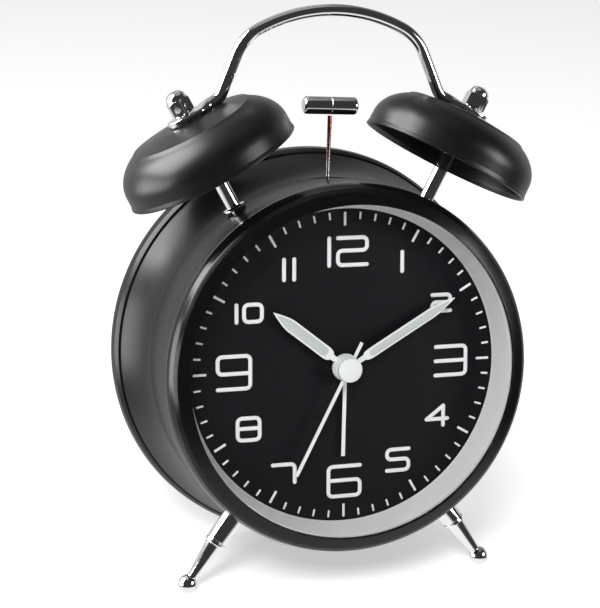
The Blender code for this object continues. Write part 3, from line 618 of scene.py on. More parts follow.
# %% Front pieces
LIP_R = 47.8
bezel_outline = [(LIP_R, BEZEL_FRONT, 0.22), (BEZEL_R - 2.15, BEZEL_FRONT - 1.7, 0.5),
                 (BEZEL_R - 1.1, BEZEL_FRONT - 2.7, 1.0), (BEZEL_R - 0.35, BEZEL_FRONT - 4.6, 1.6),
                 (BEZEL_R, BEZEL_FRONT - 6.2, 0.8), (BEZEL_R, BEZEL_BACK, 0.22),
                 (NECK_R + 0.3, BEZEL_BACK), (NECK_R + 0.3, NECK_FRONT + 0.3),
                 (49.6, NECK_FRONT + 0.3), (49.6, BEZEL_FRONT - 1.4), (LIP_R, BEZEL_FRONT - 1.4, 0.15)]
finished("bezel", turned(bezel_outline, "bezel", 192), "bezel", "case", ["bezel_ring"])

lens_low, lens_high = span("lens")
window_outline = [(0, lens_high.z), (lens_high.x, lens_high.z, 0.15), (lens_high.x, lens_low.z, 0.15),
                  (0, lens_low.z)]
finished("window", turned(window_outline, "lens", 128), "lens", "case", ["lens"])

ring_low, ring_high = span("reflector_ring")
FACE_R = 45.6
ring_outline = [(LIP_R, ring_high.z, 0.2), (ring_high.x, ring_high.z, 0.1), (ring_high.x, ring_low.z, 0.1),
                (FACE_R, ring_low.z, 0.12), (FACE_R + 0.25, ring_low.z + 0.5, 0.3),
                (FACE_R + 1.0, ring_low.z + 3.6, 2.0)]
finished("silver_ring", turned(ring_outline, "silver", 192), "silver", "case",
         ["reflector_ring"])

dial_low, dial_high = span("dial_plate")
finished("dial_face", turned([(3.2, dial_low.z), (dial_high.x, dial_low.z, 0.1), (dial_high.x, 0, 0.1),
                              (3.2, 0, 0.1)], "dial", 128), "dial", "case", ["dial_plate"])
print("window at", round(lens_high.z, 2), "mm, dial radius", FACE_R, "mm")

# %% [markdown]
# ## Minute marks
# Sixty marks stand round the dial, twelve of them long. One small bar is modelled, and a tree
# sets copies of it on the points of a circle, each turned to point at the centre. An input skips
# every fifth point, so that the short marks leave room for the long ones. The same tree later
# sets the ribs of the knobs and the screws of the back.

# %% The ring tree
AROUND, enter, leave = new_tree("copies in a ring", {"Count": 12, "Radius": 10.0, "Start": 0.0,
                                                     "Skip every": 0})
circle = AROUND.nodes.new("GeometryNodeMeshCircle")
AROUND.links.new(enter.outputs["Count"], circle.inputs["Vertices"])
AROUND.links.new(enter.outputs["Radius"], circle.inputs["Radius"])
index = AROUND.nodes.new("GeometryNodeInputIndex")


def tree_maths(tree, operation, first, second):
    node = tree.nodes.new("ShaderNodeMath")
    node.operation = operation
    for socket, value in zip(node.inputs, (first, second)):
        if isinstance(value, bpy.types.NodeSocket):
            tree.links.new(value, socket)
        else:
            socket.default_value = value
    return node.outputs[0]


every = enter.outputs["Skip every"]
left_over = tree_maths(AROUND, "MODULO", index.outputs[0], tree_maths(AROUND, "MAXIMUM", every, 1.0))
no_skip = tree_maths(AROUND, "LESS_THAN", every, 1.0)
wanted = tree_maths(AROUND, "MAXIMUM", no_skip, tree_maths(AROUND, "GREATER_THAN", left_over, 0.5))
step = tree_maths(AROUND, "DIVIDE", 2 * pi, enter.outputs["Count"])
facing = tree_maths(AROUND, "ADD", tree_maths(AROUND, "MULTIPLY", index.outputs[0], step), -pi / 2)
spin = AROUND.nodes.new("ShaderNodeCombineXYZ")
AROUND.links.new(facing, spin.inputs["Z"])
whole = AROUND.nodes.new("ShaderNodeCombineXYZ")
AROUND.links.new(enter.outputs["Start"], whole.inputs["Z"])
placed = chain(AROUND, circle.outputs[0],
               ("GeometryNodeInstanceOnPoints", {"Selection": wanted, "Instance": enter.outputs["Geometry"],
                                                 "Rotation": spin.outputs[0]}))
real = chain(AROUND, placed, ("GeometryNodeRealizeInstances", {}),
             ("GeometryNodeTransform", {"Rotation": whole.outputs[0]}))
close_tree(AROUND, enter, leave, real)
print("ring tree:", len(AROUND.nodes), "nodes")

# %% Bars, and the marks themselves
def slab(outline, low, high, round_by=0.0):
    """A flat outline of (x, y) raised from low to high, its rims softened."""
    bm = bmesh.new()
    face = bm.faces.new([bm.verts.new((x, y, low)) for x, y in outline])
    raise_face(bm, face, high - low)
    bmesh.ops.recalc_face_normals(bm, faces=bm.faces)
    if round_by:
        rims = [e for e in bm.edges if abs(e.verts[0].co.z - e.verts[1].co.z) < 1e-6]
        bmesh.ops.bevel(bm, geom=rims, offset=round_by, segments=2, profile=0.6, affect="EDGES",
                        clamp_overlap=True)
    return mesh_of(bm)


def bar(width, length, corner=None, steps=3):
    """The outline of a bar with rounded corners, its middle at the origin."""
    x, y, r = width / 2, length / 2, width * 0.3 if corner is None else corner
    return [p[:2] for p in rounded([(x, -y, r), (x, y, r), (-x, y, r), (-x, -y, r)], True, steps)]


MARK_HIGH = 0.32
long_marks = grown(slab(bar(0.72, 3.9), 0, MARK_HIGH, 0.1), AROUND, "white", Count=12, Radius=42.7)
short_marks = grown(slab(bar(0.56, 2.1), 0, MARK_HIGH, 0.09), AROUND, "white", Count=60, Radius=43.7,
                    Skip_every=5)
marks = finished("minute_marks", joined(long_marks, short_marks), "white", "case")
print("minute marks:", len(marks.data.polygons), "faces")

# %% [markdown]
# ## Numerals
# The numerals are squared strokes with rounded corners, raised like the marks. Each figure is a
# few straight lines in a box. A tree rounds the corners of a line, sweeps a flattened round
# section along it and closes its ends with domes, so that one set of points gives a moulded
# stroke.

# %% The stroke tree
STROKE = 1.2
STROKES, enter, leave = new_tree("raised strokes", {"Width": STROKE, "Corner": 1.3, "Height share": 0.6})
radius = tree_maths(STROKES, "MULTIPLY", enter.outputs["Width"], 0.5)
line = chain(STROKES, enter.outputs["Geometry"], ("GeometryNodeMeshToCurve", {}))
fillet = STROKES.nodes.new("GeometryNodeFilletCurve")
fillet.mode = "POLY"
fillet.inputs["Count"].default_value = 6
fillet.inputs["Limit Radius"].default_value = True
STROKES.links.new(enter.outputs["Corner"], fillet.inputs["Radius"])
STROKES.links.new(line, fillet.inputs["Curve"])
section = STROKES.nodes.new("GeometryNodeCurvePrimitiveCircle")
section.inputs["Resolution"].default_value = 14
STROKES.links.new(radius, section.inputs["Radius"])
body_of_stroke = chain(STROKES, fillet.outputs[0],
                       ("GeometryNodeCurveToMesh", {"Profile Curve": section.outputs[0], "Fill Caps": True}))
ends = STROKES.nodes.new("GeometryNodeCurveEndpointSelection")
dome = STROKES.nodes.new("GeometryNodeMeshUVSphere")
dome.inputs["Segments"].default_value, dome.inputs["Rings"].default_value = 14, 8
STROKES.links.new(radius, dome.inputs["Radius"])
domes = chain(STROKES, fillet.outputs[0],
              ("GeometryNodeInstanceOnPoints", {"Selection": ends.outputs[0], "Instance": dome.outputs[0]}),
              ("GeometryNodeRealizeInstances", {}))
both = STROKES.nodes.new("GeometryNodeJoinGeometry")
STROKES.links.new(body_of_stroke, both.inputs[0])
STROKES.links.new(domes, both.inputs[0])
flat = STROKES.nodes.new("ShaderNodeCombineXYZ")
flat.inputs["X"].default_value = flat.inputs["Y"].default_value = 1.0
STROKES.links.new(enter.outputs["Height share"], flat.inputs["Z"])
flattened = chain(STROKES, both.outputs[0], ("GeometryNodeTransform", {"Scale": flat.outputs[0]}))
close_tree(STROKES, enter, leave, flattened)
print("stroke tree:", len(STROKES.nodes), "nodes")

# %% Figures and their places
FIGURES = {
    "0": [[(0, 0), (1, 0), (1, 1), (0, 1), (0, 0)]],
    "1": [[(0.5, 0), (0.5, 1)]],
    "2": [[(0, 1), (1, 1), (1, 0.53), (0, 0.53), (0, 0), (1, 0)]],
    "3": [[(0, 1), (1, 1), (1, 0), (0, 0)], [(0, 0.5), (1, 0.5)]],
    "4": [[(0.8, 0), (0.8, 1)], [(0.8, 1), (0, 0.33)], [(0, 0.33), (1, 0.33)]],
    "5": [[(1, 1), (0, 1), (0, 0.53), (1, 0.53), (1, 0), (0, 0)]],
    "6": [[(1, 1), (0, 1), (0, 0), (1, 0), (1, 0.53), (0, 0.53)]],
    "7": [[(0, 1), (1, 1), (1, 0)]],
    "8": [[(0, 0), (1, 0), (1, 1), (0, 1), (0, 0)], [(0, 0.53), (1, 0.53)]],
    "9": [[(1, 0.47), (0, 0.47), (0, 1), (1, 1), (1, 0), (0, 0)]],
}
# hour: middle of the numeral (x, y), its height, the width of each figure, the gap between them
HOURS = {"12": (1.0, 33.3, 9.0, (STROKE, 9.9), 1.4), "1": (17.4, 29.7, 6.8, (STROKE,), 0),
         "2": (29.6, 17.1, 5.9, (6.8,), 0), "3": (32.8, -0.2, 9.7, (10.6,), 0),
         "4": (28.8, -16.5, 7.0, (7.7,), 0), "5": (16.7, -28.9, 7.5, (7.9,), 0),
         "6": (0.2, -34.0, 10.1, (10.8,), 0), "7": (-18.1, -30.4, 6.6, (7.8,), 0),
         "8": (-28.5, -16.5, 7.6, (7.7,), 0), "9": (-32.7, 0.1, 10.6, (10.7,), 0),
         "10": (-28.2, 16.9, 6.1, (STROKE, 6.4), 1.0), "11": (-16.5, 28.8, 7.0, (STROKE, STROKE), 1.8)}


def figure_lines(text, x, y, height, widths, gap):
    """The centre lines of one numeral, as lists of points on the dial."""
    found, left = [], x - (sum(widths) + gap * (len(widths) - 1)) / 2
    for figure, width in zip(text, widths):
        across, up = width - STROKE, height - STROKE
        for line in FIGURES[figure]:
            found.append([(left + STROKE / 2 + u * across, y - up / 2 + v * up) for u, v in line])
        left += width + gap
    return found


def lines_mesh(lines):
    mesh, points, edges = bpy.data.meshes.new("lines"), [], []
    for line in lines:
        ring = line[0] == line[-1]
        own = line[:-1] if ring else line
        start = len(points)
        points += [(x, y, 0) for x, y in own]
        edges += [(start + i, start + (i + 1) % len(own)) for i in range(len(own) if ring else len(own) - 1)]
    mesh.from_pydata(points, edges, [])
    return mesh


strokes = [line for text, layout in HOURS.items() for line in figure_lines(text, *layout)]
raised = moved(grown(lines_mesh(strokes), STROKES, "white"), Matrix.Translation((0, 0, 0.1)))
numerals = finished("numerals", raised, "white", "case", sharp=50)
print("numerals:", len(strokes), "strokes,", len(numerals.data.polygons), "faces")

# %% [markdown]
# ## Hands
# The hour and minute hands are stamped spears with a pale panel let into each blade; the second
# and alarm hands are plain strips. Each turns with its own pipe, so each is its own piece on its
# own body. The angle is read from the solid model's hand, from the point furthest from the axis.

# %% Shapes of the hands
def hand_angle(node):
    """Clockwise from twelve, from the furthest point of the hand."""
    found = points_of(node)
    tip = found[np.hypot(found[:, 0], found[:, 1]).argmax()]
    return atan2(tip[0], tip[1])


def arc_points(radius, start, end, steps):
    return [(radius * cos(start + (end - start) * i / steps), radius * sin(start + (end - start) * i / steps))
            for i in range(steps + 1)]


def mirrored(side):
    return side + [(-x, y) for x, y in reversed(side)]


def spear(length, width, neck, hub, waist, shoulder, tip):
    """Hub, narrow neck, rounded shoulders and a long point, aimed at twelve."""
    half, thin = width / 2, neck / 2
    open_by = atan2(thin, hub)
    side = [(thin, waist)] + [(half - (half - thin) * (1 - sin(t)), waist + shoulder * (1 - cos(t)))
                              for t in (pi / 2 * i / 8 for i in range(1, 9))]
    side += [(half, length - tip), (half * 0.86, length - tip * 0.72), (half * 0.55, length - tip * 0.42),
             (half * 0.27, length - tip * 0.18), (0.1, length)]
    return arc_points(hub, pi / 2 + open_by, 5 * pi / 2 - open_by, 48) + mirrored(side)


def blade_panel(length, width, waist, shoulder, tip, inset):
    """The panel inside a spear's blade, this far in from its edge."""
    half = width / 2 - inset
    low, high = waist + 0.55 * shoulder + inset, length - tip
    side = [(half * 0.45, low), (half * 0.85, low + 0.5), (half, low + 1.3), (half, high),
            (half * 0.8, high + 0.3 * tip), (half * 0.45, high + 0.58 * tip), (0.05, high + 0.78 * tip)]
    return mirrored(side)


def strip(length, width, tail, hub):
    """A plain straight hand with a round hub, aimed at twelve."""
    half = width / 2
    open_by = atan2(half, hub)
    points = arc_points(hub, pi / 2 + open_by, 3 * pi / 2 - open_by, 24)
    if tail:
        points += [(-half, -tail), (half, -tail)]
    points += arc_points(hub, -pi / 2 + open_by, pi / 2 - open_by, 24)
    return points + [(half, length), (-half, length)]


SHAPES = {"alarm_hand": (strip(26.2, 1.1, 0, 3.95), 3.95, 3.05),
          "hour_hand": (spear(27.6, 3.7, 1.7, 3.9, 5.6, 2.2, 6.5), 3.9, 2.35),
          "minute_hand": (spear(37.6, 3.0, 1.5, 3.7, 6.0, 2.2, 8.0), 3.7, 1.6),
          "second_hand": (strip(34.0, 1.0, 8.5, 3.4), 3.4, 0.85)}
ORDER = list(SHAPES)
levels = [span(node)[0].z for node in ORDER] + [span("hand_cap")[0].z]
print("hand levels:", [round(z, 2) for z in levels])

# %% The four hands and their cap
HAND_THICK = 0.42
AIMS = {node: Matrix.Rotation(-hand_angle(node), 4, "Z") for node in ORDER}
for node, low, above in zip(ORDER, levels, levels[1:]):
    shape, hub, bore = SHAPES[node]
    plate = slab(shape, low, low + HAND_THICK, 0.11)
    disc = [(bore, low), (hub, low, 0.12), (hub, above - 0.14, 0.2), (bore, above - 0.14)]
    finished(node.replace("_hand", "_pointer"), joined(plate, turned(disc, "white", 64)), "white", node,
             [node], AIMS[node])
    print(node, "points at", round(hand_angle(node) * 180 / pi % 360, 1), "degrees")

panels = {"hour_hand": blade_panel(27.6, 3.7, 5.6, 2.2, 6.5, 0.5),
          "minute_hand": blade_panel(37.6, 3.0, 6.0, 2.2, 8.0, 0.46)}
for node, shape in panels.items():
    top = span(node)[0].z + HAND_THICK
    finished(node.replace("_hand", "_panel"), slab(shape, top - 0.05, top + 0.06, 0.04), "lume", node,
             local=AIMS[node])
cap_low, cap_high = span("hand_cap")
cap = [(0, cap_low.z), (cap_high.x, cap_low.z, 0.12), (cap_high.x, cap_high.z - 0.25, 0.55),
       (cap_high.x * 0.5, cap_high.z - 0.02, 3.0), (0, cap_high.z)]
finished("centre_cap", turned(cap, "white", 64, 8), "white", "second_hand", ["hand_cap"])

# %% [markdown]
# ## Bells, posts and nuts
# Each bell is spun from thin steel: a shallow crown with a crease round it, a full round
# shoulder and a short straight skirt with a turned lip. It hangs on a chrome post and is held by
# a domed nut. A domed nut is a turned shape cut by a hexagon, so its mesh takes, at each angle,
# whichever of the two is nearer to the axis. That gives the curved chamfers of a real nut for
# nothing.

# %% Bells and posts
BELL_WALL, SKIRT, FLAT_R, CREASE_R, STUD_HOLE = 0.9, 4.0, 9.5, 18.2, 1.4
POST_START, POST_SEAT, POST_R, STUD_R = 45.6, 51.2, 2.1, 1.05


def bell_outline(mouth, crown, mouth_r, inwards=0.0):
    """Half of the bell's outline from the mouth to the crown."""
    shoulder_r, height = mouth_r - 0.4 - inwards - FLAT_R, crown - mouth - inwards
    found = [(mouth_r - inwards, mouth, 0.2 if inwards else 0.28),
             (mouth_r - 0.35 - inwards, mouth + 1.4, 1.0)]
    for t in (pi / 2 * i / 32 for i in range(33)):
        radius, level = FLAT_R + shoulder_r * cos(t), mouth + SKIRT + (height - SKIRT) * sin(t)
        if radius > CREASE_R + 0.3:
            found.append((radius, level))
    crease = sqrt(1 - ((CREASE_R - FLAT_R) / shoulder_r) ** 2) * (height - SKIRT)
    return found + [(CREASE_R, mouth + SKIRT + crease + 0.28, 0.25), (FLAT_R - 1.0, crown - inwards, 4.0),
                    (STUD_HOLE, crown - inwards)]


for side in ("left", "right"):
    local = STUDS[side + "_bell"]
    mouth, crown, mouth_r = reach(side + "_bell", local)
    wall = list(reversed(bell_outline(mouth, crown, mouth_r, BELL_WALL)))
    outline = bell_outline(mouth, crown, mouth_r) + wall
    finished(side + "_gong", turned(outline, "bell", 144), "bell", "case", [side + "_bell"],
             local)

    start, end, _ = reach(side + "_bell_post", local)
    seat, under = start + POST_SEAT - POST_START, crown - BELL_WALL - 0.3
    post = [(0, start), (STUD_HOLE, start, 0.2), (STUD_HOLE, seat), (3.3, seat, 0.12), (3.3, seat + 0.6, 0.2),
            (POST_R, seat + 0.75, 0.25), (POST_R, under - 1.2, 0.1),
            (2.6, under - 1.0, 0.15), (2.6, under, 0.15), (STUD_R, under), (STUD_R, end, 0.2), (0, end)]
    finished(side + "_post", turned(post, "chrome", 64), "chrome", "case", [side + "_bell_post"],
             local)
print("bells: mouth radius", round(mouth_r, 1), "mm, height", round(crown - mouth, 1), "mm")

# %% Domed nuts
def hexed(outline, flats, segments=96):
    """A turned outline held inside a hexagon."""
    bm = bmesh.new()
    rings = []
    for radius, height, _ in outline:
        ring = []
        for k in range(segments):
            turn = 2 * pi * k / segments
            flat_r = flats / 2 / cos((turn + pi / 6) % (pi / 3) - pi / 6)
            nearer = min(radius, flat_r)
            ring.append(bm.verts.new((nearer * cos(turn), nearer * sin(turn), height)))
        rings.append(ring)
    for first, second in zip(rings, rings[1:]):
        for k in range(segments):
            bm.faces.new((first[k], first[k - 1], second[k - 1], second[k]))
    return mesh_of(bm)


NUT_FLATS, NUT_HEX_HEIGHT = 6.2, 4.5
for side in ("left", "right"):
    local = STUDS[side + "_bell"]
    low, high, corner = reach(side + "_cap_nut", local)
    neck = low + NUT_HEX_HEIGHT
    shape = [(STUD_HOLE, low), (NUT_FLATS / 2 - 0.1, low, 0.1), (corner + 0.02, low + 0.38),
             (corner + 0.02, neck - 0.5), (NUT_FLATS / 2 - 0.05, neck, 0.1)]
    shape += [((NUT_FLATS / 2 - 0.1) * cos(t) ** 0.8, neck + (high - neck) * sin(t)) for t in
              (pi / 2 * i / 14 for i in range(1, 14))]
    shape += [(0.001, high)]
    finished(side + "_acorn_nut", hexed(rounded(shape, False), NUT_FLATS), "chrome", "case",
             [side + "_cap_nut"], local, sharp=30)
print("acorn nuts: corner radius", round(corner, 2), "mm")

# %% [markdown]
# ## Handle and feet
# The handle is one chromed rod: an arch, two straight legs, and ends hammered flat where the
# bells' nuts hold them. It is a ring of points carried along the rod's line, and the ring itself
# changes from round to flat. The feet are turned, with a small flat filed under each ball.

# %% Handle
ROD_R, ARCH_R, ARCH_TURN, LEG_SLOPE, BEND_R = 1.75, 47.0, radians(34.0), radians(22.6), 14.0
TAB_THICK, TAB_WIDTH, TAB_START, TAB_END = 1.7, 8.0, -9.0, 5.6
handle_low, handle_high = span("carry_handle")
arch_top = handle_high.y - ROD_R
handle_z = (handle_low.z + handle_high.z) / 2
right = STUDS["right_bell"]
bell_axis = Vector(right.col[2][:2])
bell_base = Vector(right.col[3][:2])
tab_out = Vector((bell_axis.y, -bell_axis.x))
tab_level = reach("right_bell", right)[1] + 0.3 + TAB_THICK / 2


def handle_line():
    """The right half of the rod's centre line, from the top of the arch to the tab's end."""
    arch_middle = arch_top - ARCH_R
    corner = Vector((ARCH_R * sin(ARCH_TURN), arch_middle + ARCH_R * cos(ARCH_TURN)))
    down, inward = Vector((sin(LEG_SLOPE), -cos(LEG_SLOPE))), Vector((-cos(LEG_SLOPE), -sin(LEG_SLOPE)))
    away = corner + inward * BEND_R - Vector((0, arch_middle))
    slide = -away.dot(down) - sqrt(away.dot(down) ** 2 - away.dot(away) + (ARCH_R - BEND_R) ** 2)
    bend = away + down * slide
    joins = atan2(bend.x, bend.y)
    line = [(ARCH_R * sin(joins * i / 24), arch_middle + ARCH_R * cos(joins * i / 24)) for i in range(24)]
    for i in range(13):
        angle = joins + (pi / 2 - LEG_SLOPE - joins) * i / 12
        line.append((bend.x + BEND_R * sin(angle), arch_middle + bend.y + BEND_R * cos(angle)))
    foot = corner + down * ((tab_level - (corner - bell_base).dot(bell_axis)) / down.dot(bell_axis))
    end = bell_base + bell_axis * tab_level + tab_out * TAB_END
    last_bend = rounded([tuple(corner.lerp(foot, 0.5)), (*foot, 4.5), tuple(end)], False, 14)
    line += [point[:2] for point in last_bend]
    dense = [Vector(line[0])]
    for point in map(Vector, line[1:]):
        pieces = max(1, int((point - dense[-1]).length / 0.8))
        start = dense[-1]
        dense += [start.lerp(point, (k + 1) / pieces) for k in range(pieces)]
    return dense


def rod_section(point):
    """Half width and half thickness of the rod at a point of its line, and how square it is."""
    out, up = (point - bell_base).dot(tab_out), (point - bell_base).dot(bell_axis)
    flat = min(max((out - TAB_START - 1) / 4.0, 0), 1) if up < tab_level + 1.8 else 0
    flat = flat * flat * (3 - 2 * flat)
    width = ROD_R + (TAB_WIDTH / 2 - ROD_R) * flat
    bow = out - (TAB_END - TAB_WIDTH / 2)
    if bow > 0:
        width = sqrt(max((TAB_WIDTH / 2) ** 2 - bow ** 2, 0.09))
    return width, ROD_R + (TAB_THICK / 2 - ROD_R) * flat, 1 + 2.5 * flat


def signed_power(value, power):
    return (abs(value) ** power) * (1 if value >= 0 else -1)


ROD_SIDES = 32
half_line = handle_line()
whole_line = [Vector((-p.x, p.y)) for p in reversed(half_line[1:])] + half_line
bm = bmesh.new()
rings = []
for i, point in enumerate(whole_line):
    ahead, behind = whole_line[min(i + 1, len(whole_line) - 1)], whole_line[max(i - 1, 0)]
    along = (ahead - behind).normalized()
    across = Vector((-along.y, along.x))
    width, thick, square = rod_section(Vector((abs(point.x), point.y)))
    ring = []
    for k in range(ROD_SIDES):
        turn = 2 * pi * k / ROD_SIDES
        offset = across * thick * signed_power(cos(turn), 1 / square)
        ring.append(bm.verts.new((point.x + offset.x, point.y + offset.y,
                                  handle_z + width * signed_power(sin(turn), 1 / square))))
    rings.append(ring)
for first, second in zip(rings, rings[1:]):
    for k in range(ROD_SIDES):
        bm.faces.new((first[k], first[k - 1], second[k - 1], second[k]))
bm.faces.new(rings[0])
bm.faces.new(rings[-1])
finished("handle", mesh_of(bm), "chrome", "case", ["carry_handle"], sharp=50)
print("handle:", len(whole_line), "rings along its line")

# %% Feet
FOOT_START, COLLAR, BALL, BALL_R = 48.6, 53.3, 77.2, 2.7
for side in ("left", "right"):
    local = STUDS[side + "_foot"]
    base = reach(side + "_foot", local)[0] - FOOT_START
    waist = asin(1.45 / BALL_R)
    shape = [(0, FOOT_START), (1.4, FOOT_START, 0.2), (1.4, COLLAR), (3.2, COLLAR, 0.15), (3.2, 61.9, 0.12),
             (2.95, 62.05, 0.08), (2.95, 62.3, 0.08), (3.2, 62.45, 0.12), (3.2, 63.2, 0.3),
             (2.65, 63.45, 0.12), (1.45, BALL - BALL_R * cos(waist), 0.5)]
    shape += [(BALL_R * sin(t), BALL - BALL_R * cos(t)) for t in
              (waist + (pi - waist) * i / 18 for i in range(1, 18))] + [(0, BALL + BALL_R)]
    shape = [(point[0], point[1] + base, *point[2:]) for point in shape]
    ground = slab([(-1, -1), (1, -1), (1, 1), (-1, 1)], -1, 0)
    ground = moved(ground, (DIAL @ local).inverted())
    finished(side + "_leg", carved(turned(shape, "chrome", 64), ground), "chrome", "case",
             [side + "_foot"], local)
print("feet placed")

# %% [markdown]
# ## Hammer
# The hammer is a small chromed barrel, pressed from two halves that meet in a fine seam, on a
# copper-coloured wire that thins towards its pivot inside the case.

# %% Hammer
pivot_joint = next(j for j in frame["joints"] if j["name"] == "hammer_swing")
pivot = DIAL.inverted() @ Vector(pivot_joint["pos_m"])
head_middle = Vector(points_of("hammer_head").mean(0))
lean = atan2(-(head_middle - pivot).x, (head_middle - pivot).y)
HAMMER = Matrix.Translation(pivot) @ Matrix.Rotation(lean, 4, "Z")
head_low, head_high = span("hammer_head", HAMMER)
head_r, head_half, head_y = (head_high.y - head_low.y) / 2, head_high.x, (head_high.y + head_low.y) / 2
shape = [(0, -head_half), (head_r, -head_half, 1.3), (head_r, -0.14, 0.06), (head_r - 0.16, 0, 0.04),
         (head_r, 0.14, 0.06), (head_r, head_half, 1.3), (0, head_half)]
barrel = moved(turned(shape, "chrome", 64, 8),
               HAMMER @ Matrix.Translation((0, head_y, 0)) @ Matrix.Rotation(pi / 2, 4, "Y"))
finished("hammer_barrel", barrel, "chrome", "hammer", ["hammer_head"])
rod_low, rod_high = span("hammer_rod", HAMMER)
wire = [(0, rod_low.y), (0.5, rod_low.y, 0.1), (0.5, 16), (0.65, rod_high.y), (0, rod_high.y)]
finished("hammer_stem", moved(turned(wire, "wire", 32), HAMMER @ Matrix.Rotation(-pi / 2, 4, "X")), "wire",
         "hammer", ["hammer_rod"])
print("hammer leans", round(lean * 180 / pi, 1), "degrees")

# %% [markdown]
# ## The back
# The back cover of the solid model is right as it is, so it stays and only gets its plastic.
# What it lacks is moulded relief: a rim, a step round each knob and the button, arrows beside the
# knobs and a frame round the switch. Those are low slabs and rings that stand on the cover.

# %% Relief of the cover
COVER_FACE = cover_low.z
time_middle = Vector((0, 0, 0))
alarm_low, alarm_high = span("alarm_set_knob")
alarm_middle = (alarm_low + alarm_high) / 2
button_low, button_high = span("light_button")
button_middle = (button_low + button_high) / 2
switch_low, switch_high = span("alarm_switch")
door_low, door_high = span("battery_door")


def over(mesh, middle):
    """Slides a shape sideways until it stands over a point of the cover."""
    return moved(mesh, Matrix.Translation((middle.x, middle.y, 0)))


def relief_ring(middle, inner, outer, high=0.5, segments=96):
    """A low ring standing on the back of the cover."""
    shape = [(inner, COVER_FACE + 0.05), (inner, COVER_FACE - high, 0.15), (outer, COVER_FACE - high, 0.25),
             (outer, COVER_FACE + 0.05)]
    return over(turned(shape, "cover", segments), middle)


def relief_frame(middle, width, length, wall=1.1, high=0.6):
    """A low rectangular frame with rounded corners."""
    outer = slab(bar(width + 2 * wall, length + 2 * wall, 1.6, 4), COVER_FACE - high, COVER_FACE + 0.05, 0.12)
    inner = slab(bar(width, length, 0.8, 4), COVER_FACE - 2, COVER_FACE + 2)
    return over(carved(outer, inner), middle)


def turn_arrow(middle, radius, start, end, wide=0.9, high=0.35):
    """A bent arrow that shows which way a knob is turned."""
    outer = arc_points(radius + wide / 2, start, end, 18)
    inner = arc_points(radius - wide / 2, end, start, 18)
    ahead = 2.0 / radius * (1 if end > start else -1)
    head = [(r * cos(t), r * sin(t)) for r, t in
            ((radius + 1.2, end), (radius, end + ahead), (radius - 1.2, end))]
    shape = slab(outer + head + inner, COVER_FACE - high, COVER_FACE + 0.05, 0.08)
    return over(shape, middle)


door_middle = (door_low + door_high) / 2
switch_slot_middle = Vector((switch_low.x + switch_high.x, 60, 0)) / 2
reliefs = [relief_ring(time_middle, 53.6, 55.6, 0.5, 160), relief_ring(time_middle, 6.8, 7.9, 0.5),
           relief_ring(alarm_middle, 6.6, 7.5, 0.4), relief_ring(button_middle, 6.1, 7.3, 0.7),
           relief_frame(switch_slot_middle, 5.6, 13.4),
           turn_arrow(time_middle, 10.4, radians(20), radians(75)),
           turn_arrow(alarm_middle, 9.4, radians(250), radians(195))]
finished("cover_relief", joined(*reliefs), "cover", "case")
print("cover relief:", len(reliefs), "parts")

# %% [markdown]
# The setting knobs have ribs to grip, which are one small bar set round by the ring tree. Each
# knob is on its own body, so the ribs turn with it.

# %% Knobs
def ribbed_knob(radius, top, under, ribs, middle, stem_r, stem_top):
    """A knob that stands out backwards from its stem, with ribs round its side and a dished face."""
    body = turned([(0, top + 0.5), (radius * 0.62, top + 0.5, 0.4), (radius * 0.74, top, 0.4),
                   (radius - 0.45, top, 0.5), (radius - 0.4, under, 0.3), (stem_r, under, 0.1),
                   (stem_r, stem_top, 0.2), (0, stem_top)], "knob", 96)
    rib = slab([(-0.3, -0.3), (0.3, -0.3), (0.16, 0.4), (-0.16, 0.4)], top + 0.5, under - 0.35, 0.08)
    rib = moved(rib, Matrix.Rotation(pi, 4, "Z"))
    around = grown(rib, AROUND, "knob", Count=ribs, Radius=radius - 0.4)
    return over(joined(body, around), middle)


knob_low, knob_high = span("time_set_knob")
RIBS, STEM_R, ALARM_STEM_R, KNOB_UNDER = 30, 1.9, 1.35, knob_low.z + 4.3
time_knob = ribbed_knob(knob_high.x, knob_low.z, KNOB_UNDER, RIBS, time_middle, STEM_R, knob_high.z)
finished("time_knob_ribbed", time_knob, "knob", "time_knob", ["time_set_knob"])
knob_r = (alarm_high.x - alarm_low.x) / 2
alarm_knob = ribbed_knob(knob_r, alarm_low.z, KNOB_UNDER, RIBS, alarm_middle, ALARM_STEM_R, alarm_high.z)
finished("alarm_knob_ribbed", alarm_knob, "knob", "alarm_knob", ["alarm_set_knob"])
print("knobs:", round(2 * knob_r, 1), "mm across")

# %% Light button, alarm switch and battery door
button_r = (button_high.x - button_low.x) / 2
dish = [(0, button_low.z + 0.7), (button_r * 0.55, button_low.z + 0.45, 2.0),
        (button_r - 1.1, button_low.z, 0.5), (button_r, button_low.z + 0.3, 0.4),
        (button_r, button_high.z, 0.2), (0, button_high.z)]
finished("light_button_cap", over(turned(dish, "knob", 96), button_middle), "knob", "light_button",
         ["light_button"])

switch_middle = (switch_low + switch_high) / 2
switch_size = switch_high - switch_low
block = slab(bar(switch_size.x, switch_size.y, 0.5), switch_low.z + 0.35, switch_high.z, 0.15)
grips = [slab([(-1.7, y - 0.28), (1.7, y - 0.28), (1.7, y + 0.28), (-1.7, y + 0.28)], switch_low.z,
              switch_low.z + 0.5, 0.12) for y in (-2.2, -1.1, 0, 1.1, 2.2)]
finished("alarm_switch_block", over(joined(block, *grips), switch_middle), "knob", "alarm_switch",
         ["alarm_switch"])

